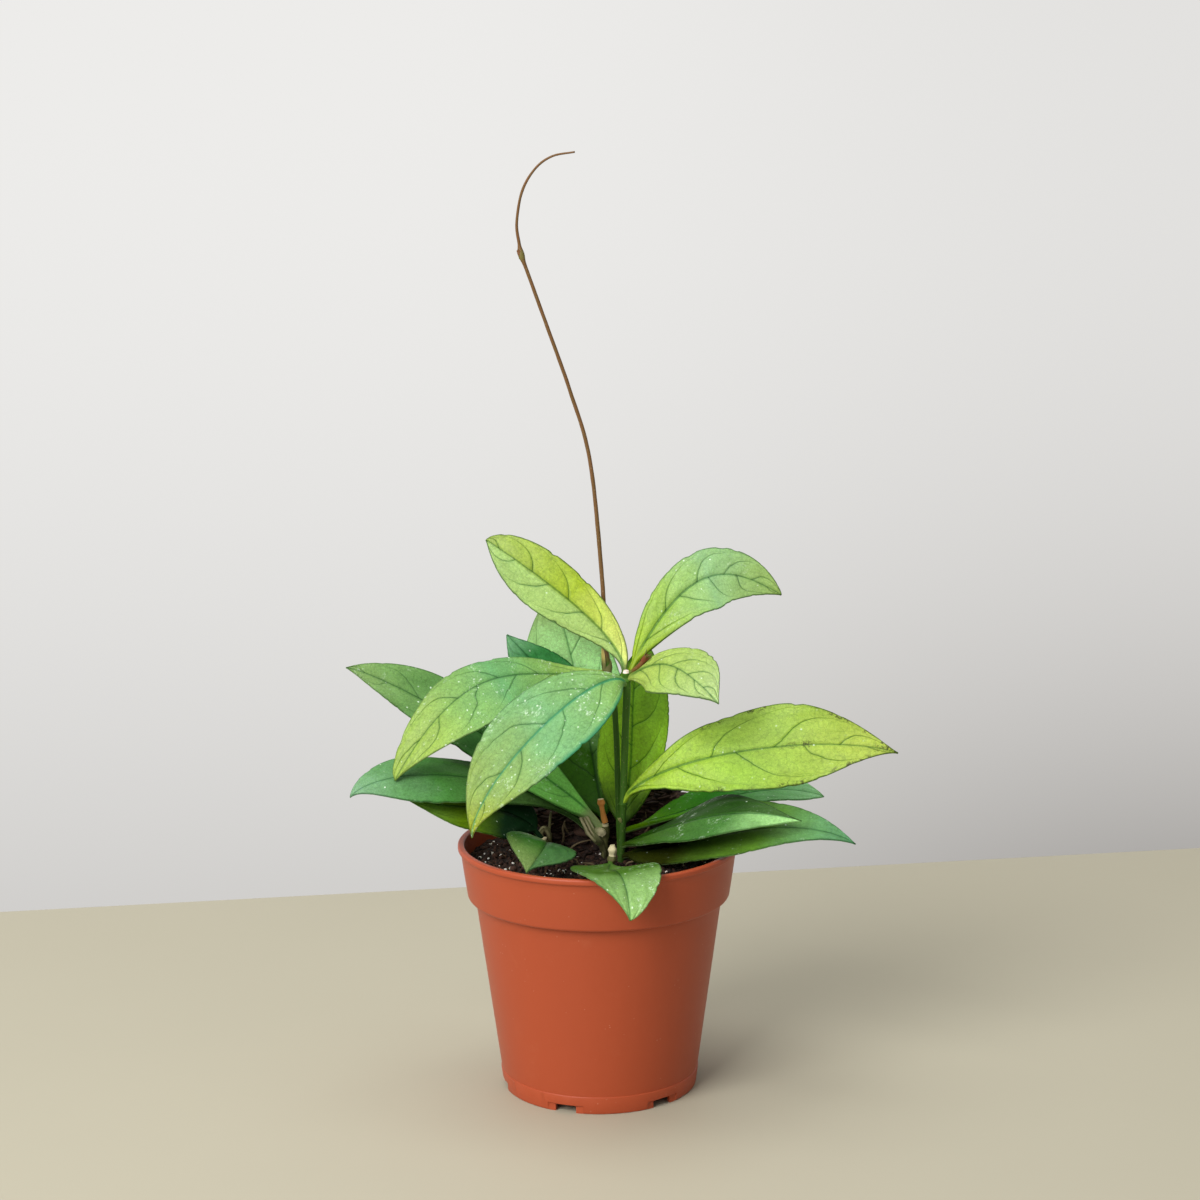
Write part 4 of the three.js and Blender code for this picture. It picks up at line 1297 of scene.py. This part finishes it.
class HOYA_OT_runner(bpy.types.Operator):
    """Models the long leafless runner with its dry sheath and the buds at its node"""

    bl_idname = "hoya.runner"
    bl_label = "Runner"

    def execute(self, context):
        stems = context.scene.hoya_stems
        runner = shoot("runner", RUNNER, 260, sides=16, rough=0.12)
        finish = stem_finish(
            "runner", toned(stems.green, 0.75), stems.runner, node_tint=linear("6f6a38"), node_at=0.684,
            start=0.24, step=0.06,
        )
        finished(runner, finish, "shoot_brown", "stem_runner")
        foot = Vector(RUNNER[SHEATH_POINT][:3]) * MM
        sheath = bud_scales(
            "runner_sheath", foot, (-0.15, 0.12, 1), number=4, reach=9 * MM, width=2.45 * MM, seed=21,
            splay=-0.04,
        )
        finished(sheath, stem_finish("runner_sheath", stems.olive, stems.sheath, start=0.3), "shoot_brown")
        node = Vector(RUNNER[NODE_POINT][:3]) * MM - Vector((0, 0, 1.2 * MM))
        buds = bud_scales(
            "runner_node_buds", node, (-0.3, -0.1, 1), number=4, reach=3.4 * MM, width=0.95 * MM, seed=13
        )
        finished(buds, stem_finish("runner_node_buds", stems.olive, stems.runner), "shoot_brown")
        return {"FINISHED"}


class HOYA_OT_low_stems(bpy.types.Operator):
    """Models the three short stems, the gnarled foot with its ridges, and the small shoots and knobs"""

    bl_idname = "hoya.low_stems"
    bl_label = "Low Stems"

    def execute(self, context):
        stems = context.scene.hoya_stems
        olive, pale = stems.olive, stems.knob
        for seed, (node, points) in enumerate(LOW_STEMS.items()):
            name = node.replace("stem_low", "low_stem")
            piece = shoot(name, points, 40, rough=0.3, seed=5.0 * seed)
            knob_from = 0.62 if node == "stem_low_front" else 0.93
            finish = stem_finish(
                name, toned(olive, 0.45), olive, end=pale, end_from=knob_from, streak=0.8, rough=0.65
            )
            finished(piece, finish, "stem_olive", node, angle=50)
        for name, points, low, high, rough in (
            ("gnarled_foot", GNARLED_FOOT, toned(olive, 0.4), linear("9aa06c"), 0.9),
            ("side_knob", SIDE_KNOB, linear("8f9366"), pale, 0.6),
            ("curled_shoot", CURLED_SHOOT, toned(olive, 0.6), linear("9a936a"), 0.5),
            ("thin_shoot", THIN_SHOOT, toned(olive, 0.6), linear("7d7a52"), 0.5),
            ("small_knob", SMALL_KNOB, toned(pale, 0.6), pale, 0.5),
        ):
            piece = shoot(name, points, 40, sides=18, rough=rough, seed=len(name))
            finish = stem_finish(name, low, high, streak=0.7, rough=0.65, start=0.2)
            finished(piece, finish, "stem_olive", angle=60)
        ridges = []
        for i, (aside, first, last) in enumerate(FOOT_RIDGES):
            points = []
            for x, y, z, radius in GNARLED_FOOT[first:last]:
                points.append((x + aside, y - 0.8 * radius - 0.2, z + 0.6 * aside, RIDGE_RADIUS))
            ridges.append(shoot(f"ridge_{i}", points, 24, sides=8, rough=0.9, seed=3.0 * i))
        bark = stem_finish("foot_ridges", linear("8d8f62"), pale, streak=0.6, rough=0.7)
        finished(joined("foot_ridges", ridges), bark, "stem_olive")
        return {"FINISHED"}


class HOYA_OT_dried_stub(bpy.types.Operator):
    """Models the dried orange-brown stub of a cut shoot"""

    bl_idname = "hoya.dried_stub"
    bl_label = "Dried Stub"

    def execute(self, context):
        stems = context.scene.hoya_stems
        piece = shoot("dried_stub", DRIED_STUB, 40, rough=0.35, seed=3.3)
        finish = stem_finish("dried_stub", stems.stub, toned(stems.stub, 1.1), end=stems.stub_top, rough=0.7)
        finished(piece, finish, "dried_stub", "stub_dried", angle=50)
        return {"FINISHED"}


def cubic(points, part):
    """The one cubic curve through four evenly spaced points, at each share of its way."""
    third, two = part - 1 / 3, part - 2 / 3
    weights = (-4.5 * third * two * (part - 1), 13.5 * part * two * (part - 1),
               -13.5 * part * third * (part - 1), 4.5 * part * third * two)
    return sum(weight[:, None] * np.array(point, float) for weight, point in zip(weights, points))


def unit(rows):
    return rows / np.linalg.norm(rows, axis=1)[:, None]


def vein_sweep(side, slant):
    """How far towards the tip a side vein has run when it is that far from the midrib."""
    even, soon, late = VEIN_BEND
    return slant * (even * side + soon * side**2 + late * side**5)


def blade_points(shape, blades, part, side, upper):
    """Where the points of a leaf lie, in millimetres, with what its finish reads from them."""
    stalk_radius = shape["stalk_radius"]
    tip = part[:, None]
    u = np.maximum(0, (part - shape["stalk"]) / (1 - shape["stalk"]))
    centre = cubic(shape["midrib"], part)
    along = unit(cubic(shape["midrib"], part + 0.001) - cubic(shape["midrib"], part - 0.001))
    face = blend(np.array(shape["face"][0], float), np.array(shape["face"][1], float), tip)
    up = unit(face - (face * along).sum(1)[:, None] * along)
    across = np.cross(up, along)
    reach, rise, fall = (np.where(side > 0, second, first) for first, second in zip(*shape["edges"]))
    widest = rise / (rise + fall)
    spread = (u / widest) ** rise * ((1 - u) / (1 - widest)) ** fall
    base = blend(stalk_radius, TIP_HALF_WIDTH, part)
    half_width = base + (reach - base) * spread
    nicks = [noise.noise(Vector((NICKS_ALONG * t, 9 * np.sign(s), reach[0]))) for t, s in zip(part, side)]
    half_width -= EDGE_NICKS * spread * np.maximum(0, np.array(nicks) - 0.1)
    blade = smooth_step(u, 0, BLADE_START)
    rib = blend(blades.middle / MM, TIP_THICKNESS, part) / 2
    middle = blend(stalk_radius, rib, blade)
    edge = blend(stalk_radius * 0.5, blades.edge / MM / 2, blade)
    lateral = half_width * side + shape["hook"] * part**HOOK_POWER
    near = np.abs(side)
    margin = half_width * (1 - near)
    raised = shape["fold"] * half_width * near * blade
    raised += shape["wave"] * side * near * spread * np.sin(2 * np.pi * WAVES * u)
    length_mm = np.linalg.norm(np.diff(cubic(shape["midrib"], np.linspace(0, 1, 60)), axis=0), axis=1).sum()
    slant = (shape["edges"][0][0] + shape["edges"][1][0]) / length_mm
    phase = (part - vein_sweep(near, slant)) * VEIN_COUNT + VEIN_SHIFT * (side > 0)
    quilt = blades.quilting / MM * blade * np.sin(np.pi * near) * -np.cos(2 * np.pi * (phase - 0.5))
    groove = blades.groove / MM * (1 - 0.7 * part) * blade * np.exp(-((half_width * side / 0.8) ** 2))
    keel = 0.7 * blades.groove / MM * (1 - part) * blade * np.exp(-((half_width * side) ** 2))
    rounding = np.sqrt(np.clip(1 - np.clip(1 - margin / np.maximum(edge, 0.05), 0, 1) ** 2, 0, 1))
    half = (edge + (middle - edge) * np.sqrt(np.clip(1 - side**2, 0, 1))) * rounding
    half *= blend(1, THIN_TO, smooth_step(part, THIN_FROM, 1))
    top = half - (groove - quilt) * rounding
    bottom = -half - (keel - quilt) * rounding
    height = raised + np.where(upper > 0, top, bottom)
    sheet = centre + across * lateral[:, None]
    own = Vector((slant * 40, 0, 0))
    ripple = np.array([noise.noise(Vector(row) / RIPPLE_SPAN + own) for row in sheet])
    height += RIPPLE_HEIGHT * ripple * near * blade
    places = sheet + up * height[:, None]
    flat = np.stack([part * length_mm, half_width * side, (upper > 0) * 1.0], 1)
    reading = np.stack([part, side, margin], 1)
    return places, flat, reading, slant, length_mm


def leaf_finish(shape, blades, slant, length_mm):
    """The blade's finish: its colours from root to tip, with painted light and shade on some leaves, its
    veins and net, its edge line, partly painted shade, and its flecks.
    """
    finish = Finish(
        shape["node"].replace("leaf_", "blade_"), IOR=1.42, Specular_IOR_Level=blades.shine * shape["gloss"],
        Subsurface_Weight=0.12, Subsurface_Radius=(0.7, 1.0, 0.2), Subsurface_Scale=0.0014,
    )
    flat = finish.attribute("flat")
    part, side, margin = finish.split(finish.attribute("reading"))
    lateral, upper = finish.split(flat)[1:]
    own = (17.3 * slant, 41.7 * slant, shape["midrib"][3][0])
    surface = finish.moved(finish.stretched(flat, (1, 1, 0)), own)
    near = abs(side)
    second_half = finish.maths("GREATER_THAN", side, 0.0)
    wander = finish.noise(surface, 0.07, 2) - 0.5
    shiver = finish.noise(surface, 0.35, 3) - 0.5
    mottle = finish.noise(surface, 0.16, 4, 0.62)
    grain = finish.noise(surface, 1.15, 3, 0.7)
    pores = finish.noise(surface, 3.4, 2, 0.6)

    # The side veins and their soft halo, the minor veins between them, the fine net and the midrib.
    phase = (part - vein_sweep(near, slant) + 0.08 * wander + 0.01 * shiver) * VEIN_COUNT
    phase = phase + VEIN_SHIFT * second_half
    thin = blades.vein_width / MM * VEIN_COUNT / length_mm * 1.2
    gap = abs(finish.maths("FRACT", phase) - 0.5)
    fade = shape["veins"] * (1 - 0.8 * finish.smooth(near + 0.3 * shiver, 0.5, 0.95))
    fade = fade * (0.85 + 2.0 * (grain - 0.4))
    core = finish.fall(gap, 0.4 * thin, 1.3 * thin) * fade
    halo = finish.fall(gap, 0.8 * thin, 5.0 * thin) * fade
    between = abs(finish.maths("FRACT", phase + 0.5 + 0.5 * shiver) - 0.5)
    minor = finish.fall(between, 0.2 * thin, 0.9 * thin) * finish.fall(near, 0.3, 0.6)
    warped = finish.moved(surface, finish.noise(surface, 0.5, 2))
    net = finish.fall(finish.cells(warped, 0.33, "DISTANCE_TO_EDGE"), 0.01, 0.07)
    rib_width = 0.62 - 0.4 * part
    offset = abs(lateral + 0.3 * shiver) / rib_width
    rib = finish.fall(offset, 0.5, 1.2)
    rib_halo = finish.fall(offset, 1.0, 4.0)
    on_blade = finish.smooth(part, shape["stalk"], shape["stalk"] + 0.04)

    # The colour from root to tip, with painted light and shade on some leaves, its clouds, grain and pores,
    # then the veins laid over it.
    tints = [linear(code) for code in shape["colours"]]
    base = finish.ramp(part + 0.25 * wander, tuple(zip(shape["stops"], tints)))
    # Painted light and shade: a folded blade's second half takes its own colour, for the light that the fold
    # gives it.
    if shape["far"]:
        other = finish.smooth(side, -0.05, 0.12)
        base = finish.mix(0.85 * other, base, linear(shape["far"]))
    deep = (0.24, 0.42, 0.3)
    for factor, tint in (
        (blades.mottling * finish.smooth(mottle, 0.46, 0.74), (1.3, 1.3, 1.35)),
        (blades.mottling * finish.fall(mottle, 0.24, 0.5), (0.66, 0.68, 0.66)),
        (0.55 * finish.smooth(grain, 0.48, 0.68), (1.3, 1.3, 1.35)),
        (0.6 * finish.fall(grain, 0.3, 0.5), (0.66, 0.68, 0.64)),
        (0.45 * finish.fall(pores, 0.3, 0.5), (0.55, 0.57, 0.55)),
        (0.35 * finish.smooth(pores, 0.55, 0.72), (1.5, 1.45, 1.6)),
        (0.14 * net * on_blade * shape["veins"], deep),
        (blades.vein * (0.25 * minor * shape["veins"] + 0.34 * halo) * on_blade, deep),
        (blades.vein * core * on_blade, deep),
    ):
        base = finish.mix(factor, base, tint, "MULTIPLY")
    rib_tint, way = (linear(shape["rib_colour"]), "MIX") if shape["rib_colour"] else (deep, "MULTIPLY")
    base = finish.mix(blades.vein * 0.4 * rib_halo * on_blade * (1 - 0.4 * part), base, rib_tint, way)
    base = finish.mix(min(1, blades.vein * 1.35) * rib * on_blade * (1 - 0.25 * part), base, rib_tint, way)
    # A dark line all round the edge: the leaf's own dark margin, made wider and darker with painted shade of
    # the edge's thickness.
    margin_and_edge_shade = finish.fall(margin + 0.5 * shiver, 0.15, 0.75)
    base = finish.mix(shape["rim"] * margin_and_edge_shade * on_blade, base, (0.12, 0.2, 0.15), "MULTIPLY")
    if shape["rib_colour"]:
        band = finish.fall(margin + 1.4 * shiver, 0.5, 2.2) * second_half
        base = finish.mix(0.8 * band * on_blade * finish.fall(part, 0.5, 0.7), base, rib_tint)

    # Silvery flecks on the upper side: single dots, and splashes in patches.
    chance = finish.split(finish.cells(surface, 0.8, output="Color"))[0]
    rare = finish.smooth(chance, 1 - 0.16 * shape["flecks"], 1.0)
    dots = rare * finish.fall(finish.cells(surface, 0.8) + 0.5 * (pores - 0.5), 0.12, 0.34)
    patch = finish.smooth(finish.noise(surface, 0.12, 2) + 0.06 * shape["flecks"], 0.58, 0.68)
    torn = finish.smooth(finish.noise(surface, 0.7, 5, 0.75), 0.53, 0.66)
    splash = patch * torn * min(0.7, shape["flecks"])
    flecks = finish.maths("MAXIMUM", dots, splash) * on_blade * upper
    base = finish.mix(0.8 * flecks, base, blades.fleck)
    if shape["scars"]:
        # Brown scars along the edge and the midrib.
        blot = finish.smooth(finish.noise(surface, 0.75, 4, 0.8), 0.5, 0.57)
        by_edge = finish.fall(margin, 0.7, 2.6) * finish.smooth(part, 0.3, 0.42)
        by_rib = finish.fall(abs(lateral), 0.7, 2.0) * finish.smooth(part, 0.55, 0.72)
        clouds = finish.smooth(finish.noise(surface, 0.11, 2), 0.46, 0.56)
        where = finish.maths("MAXIMUM", by_edge, by_rib) * clouds
        base = finish.mix(shape["scars"] * blot * where, base, linear("34321a"))
    stalk_tint = linear(shape["stalk_colour"]) if shape["stalk_colour"] else toned(tints[0], 0.8)
    stalk = finish.fall(part, shape["stalk"], shape["stalk"] + 0.06)
    base = finish.mix(0.9 * stalk, base, stalk_tint)
    base = finish.mix(0.25 * (1 - upper), base, blades.underside)
    finish.surface("Base Color", base)
    finish.surface("Roughness", blades.roughness + 0.1 * (1 - upper) + 0.12 * (mottle - 0.5) + 0.15 * flecks)
    relief = 0.1 * mottle + 0.03 * grain - 0.1 * core - 0.12 * halo - 0.03 * net
    finish.bump(relief - 0.12 * rib - 0.1 * rib_halo, 0.8)
    return finish.material


def blade(shape, blades):
    """One leaf with its stalk: a flat grid extruded to a closed body and laid along the midrib."""
    name = shape["node"].replace("leaf_", "blade_")
    bpy.ops.object.select_all(action="DESELECT")
    bpy.ops.mesh.primitive_grid_add(x_subdivisions=BLADE_STEPS, y_subdivisions=BLADE_ACROSS, size=1)
    piece = start_piece(name)
    edit(piece)
    bpy.ops.mesh.extrude_region_move(TRANSFORM_OT_translate={"value": (0, 0, -1)})
    bpy.ops.object.mode_set(mode="OBJECT")
    sheet = points_of(piece)
    spaced = 2 * sheet[:, 1]
    side = np.sin(np.pi / 2 * np.sign(spaced) * np.abs(spaced) ** EDGE_CROWDING)
    at_edge = np.abs(spaced) > 0.9999
    side[at_edge] = np.sign(spaced[at_edge])
    part = np.clip(sheet[:, 0] + 0.5, 0, 1)
    upper = np.where(sheet[:, 2] > -0.5, 1.0, -1.0)
    places, flat, reading, slant, length_mm = blade_points(shape, blades, part, side, upper)
    place_points(piece, places * MM)
    store(piece, "flat", flat)
    store(piece, "reading", reading)
    edit(piece)
    close_edit(piece)
    finished(piece, leaf_finish(shape, blades, slant, length_mm), shape["slot"], shape["node"])


class HOYA_OT_leaves(bpy.types.Operator):
    """Models every leaf from its midrib, its width and its outline"""

    bl_idname = "hoya.leaves"
    bl_label = "Leaves"

    def execute(self, context):
        for shape in LEAVES:
            blade(shape, context.scene.hoya_leaves)
        return {"FINISHED"}


def table_finish(stage):
    """A pale smooth table top with a very faint cloudiness."""
    finish = Finish("table_top")
    cloud = finish.noise(finish.place(), 5, 4)
    base = finish.mix(cloud, stage.table, toned(stage.table, 0.93))
    finish.surface("Base Color", base)
    finish.surface("Roughness", 0.6 + 0.1 * cloud)
    finish.bump(0.02 * finish.noise(finish.place(), 900, 2), 0.3)
    return finish.material


def surroundings(stage):
    """A pale wall behind, darker to the lower right, and a dimmer room in front of it."""
    world = bpy.data.worlds.new("soft_surroundings")
    world.use_nodes = True
    light = Nodes(world.node_tree)
    across, away, up = light.split(light.node("TexCoord", {}, {}, output="Generated"))
    low = light.maths("MAXIMUM", WALL_FALL_HEIGHT - up, 0.0)
    right = light.smooth(across, *RIGHT_REACH)
    right_fall = right * (RIGHT_FALL + RIGHT_LOW_FALL * low * low * low * low)
    shade = (1 - WALL_FALL * low * low) * (1 - right_fall)
    behind = light.smooth(away, -0.2, 0.6) * light.fall(up, 0.2, 0.5)
    room = blend(stage.fill, 1, behind)
    warm = tuple(c * factor for c, factor in zip(stage.wall, WALL_WARMTH))
    background = world.node_tree.nodes["Background"]
    light.feed(background.inputs["Color"], light.mix(light.smooth(shade, 0.4, 1.0), warm, stage.wall))
    light.feed(background.inputs["Strength"], room * light.maths("MAXIMUM", shade, WALL_LEAST))
    return world


class HOYA_OT_stage(bpy.types.Operator):
    """Sets the camera, the table, the soft lights and the pale surroundings"""

    bl_idname = "hoya.stage"
    bl_label = "Stage"

    def execute(self, context):
        stage = context.scene.hoya_stage
        scene = context.scene
        bpy.ops.object.select_all(action="DESELECT")
        bpy.ops.mesh.primitive_plane_add(size=1)
        floor = start_piece("table")
        left, right = -TABLE_REACH, TABLE_REACH
        back = [TABLE_EDGE_MIDDLE + TABLE_EDGE_SLOPE * x for x in (left, right)]
        front = -TABLE_REACH
        corners = ((left, front, 0), (right, front, 0), (left, back[0], 0), (right, back[1], 0))
        place_points(floor, np.array(corners))
        floor.data.materials.append(table_finish(stage))

        scene.world = surroundings(stage)

        for name, place, power_share, size_share in LAMPS:
            lamp = bpy.data.lights.new(name, "AREA")
            lamp.energy = power_share * stage.key_power
            lamp.size = size_share * stage.key_size
            light = bpy.data.objects.new(name, lamp)
            light.location = place
            aim = Vector(LAMPS_AIM) - Vector(place)
            light.rotation_euler = aim.to_track_quat("-Z", "Y").to_euler()
            scene.collection.objects.link(light)

        camera = bpy.data.objects.new("camera", bpy.data.cameras.new("camera"))
        camera.data.sensor_width = CAMERA_SENSOR
        camera.data.lens = CAMERA_LENS
        camera.data.clip_start = 0.01
        camera.matrix_world = (
            Matrix.Translation(CAMERA_PLACE)
            @ Matrix.Rotation(math.radians(-CAMERA_TURN), 4, "Z")
            @ Matrix.Rotation(math.radians(90 - CAMERA_TILT), 4, "X")
            @ Matrix.Rotation(math.radians(CAMERA_ROLL), 4, "Z")
        )
        scene.collection.objects.link(camera)
        scene.camera = camera
        scene.view_settings.view_transform = "Standard"
        return {"FINISHED"}


STEPS = (
    ("hoya_pot", HOYA_OT_pot),
    ("hoya_soil", HOYA_OT_soil),
    ("hoya_soil", HOYA_OT_loose_bits),
    ("hoya_soil", HOYA_OT_litter),
    ("hoya_stems", HOYA_OT_main_stem),
    ("hoya_stems", HOYA_OT_runner),
    ("hoya_stems", HOYA_OT_low_stems),
    ("hoya_stems", HOYA_OT_dried_stub),
    ("hoya_leaves", HOYA_OT_leaves),
    ("hoya_stage", HOYA_OT_stage),
)


class HOYA_PT_panel(bpy.types.Panel):
    """Lists the pieces of the plant with their settings"""

    bl_idname = "HOYA_PT_panel"
    bl_label = "Potted Hoya"
    bl_space_type = "VIEW_3D"
    bl_region_type = "UI"
    bl_category = "Hoya"

    def draw(self, context):
        shown = set()
        for name, operator in STEPS:
            box = self.layout.box()
            box.operator(operator.bl_idname)
            if name in shown:
                continue
            shown.add(name)
            settings = getattr(context.scene, name)
            for key in settings.__annotations__:
                box.prop(settings, key)


SETTINGS = {
    "hoya_pot": PotSettings,
    "hoya_soil": SoilSettings,
    "hoya_stems": StemSettings,
    "hoya_leaves": LeafSettings,
    "hoya_stage": StageSettings,
}
CLASSES = (*SETTINGS.values(), *[operator for _, operator in STEPS], HOYA_PT_panel)


def register():
    for cls in CLASSES:
        bpy.utils.register_class(cls)
    for name, settings in SETTINGS.items():
        setattr(bpy.types.Scene, name, bpy.props.PointerProperty(type=settings))


def unregister():
    for name in SETTINGS:
        delattr(bpy.types.Scene, name)
    for cls in reversed(CLASSES):
        bpy.utils.unregister_class(cls)


def main():
    register()
    for _, operator in STEPS:
        group, name = operator.bl_idname.split(".")
        getattr(getattr(bpy.ops, group), name)()


if __name__ == "__main__":
    main()
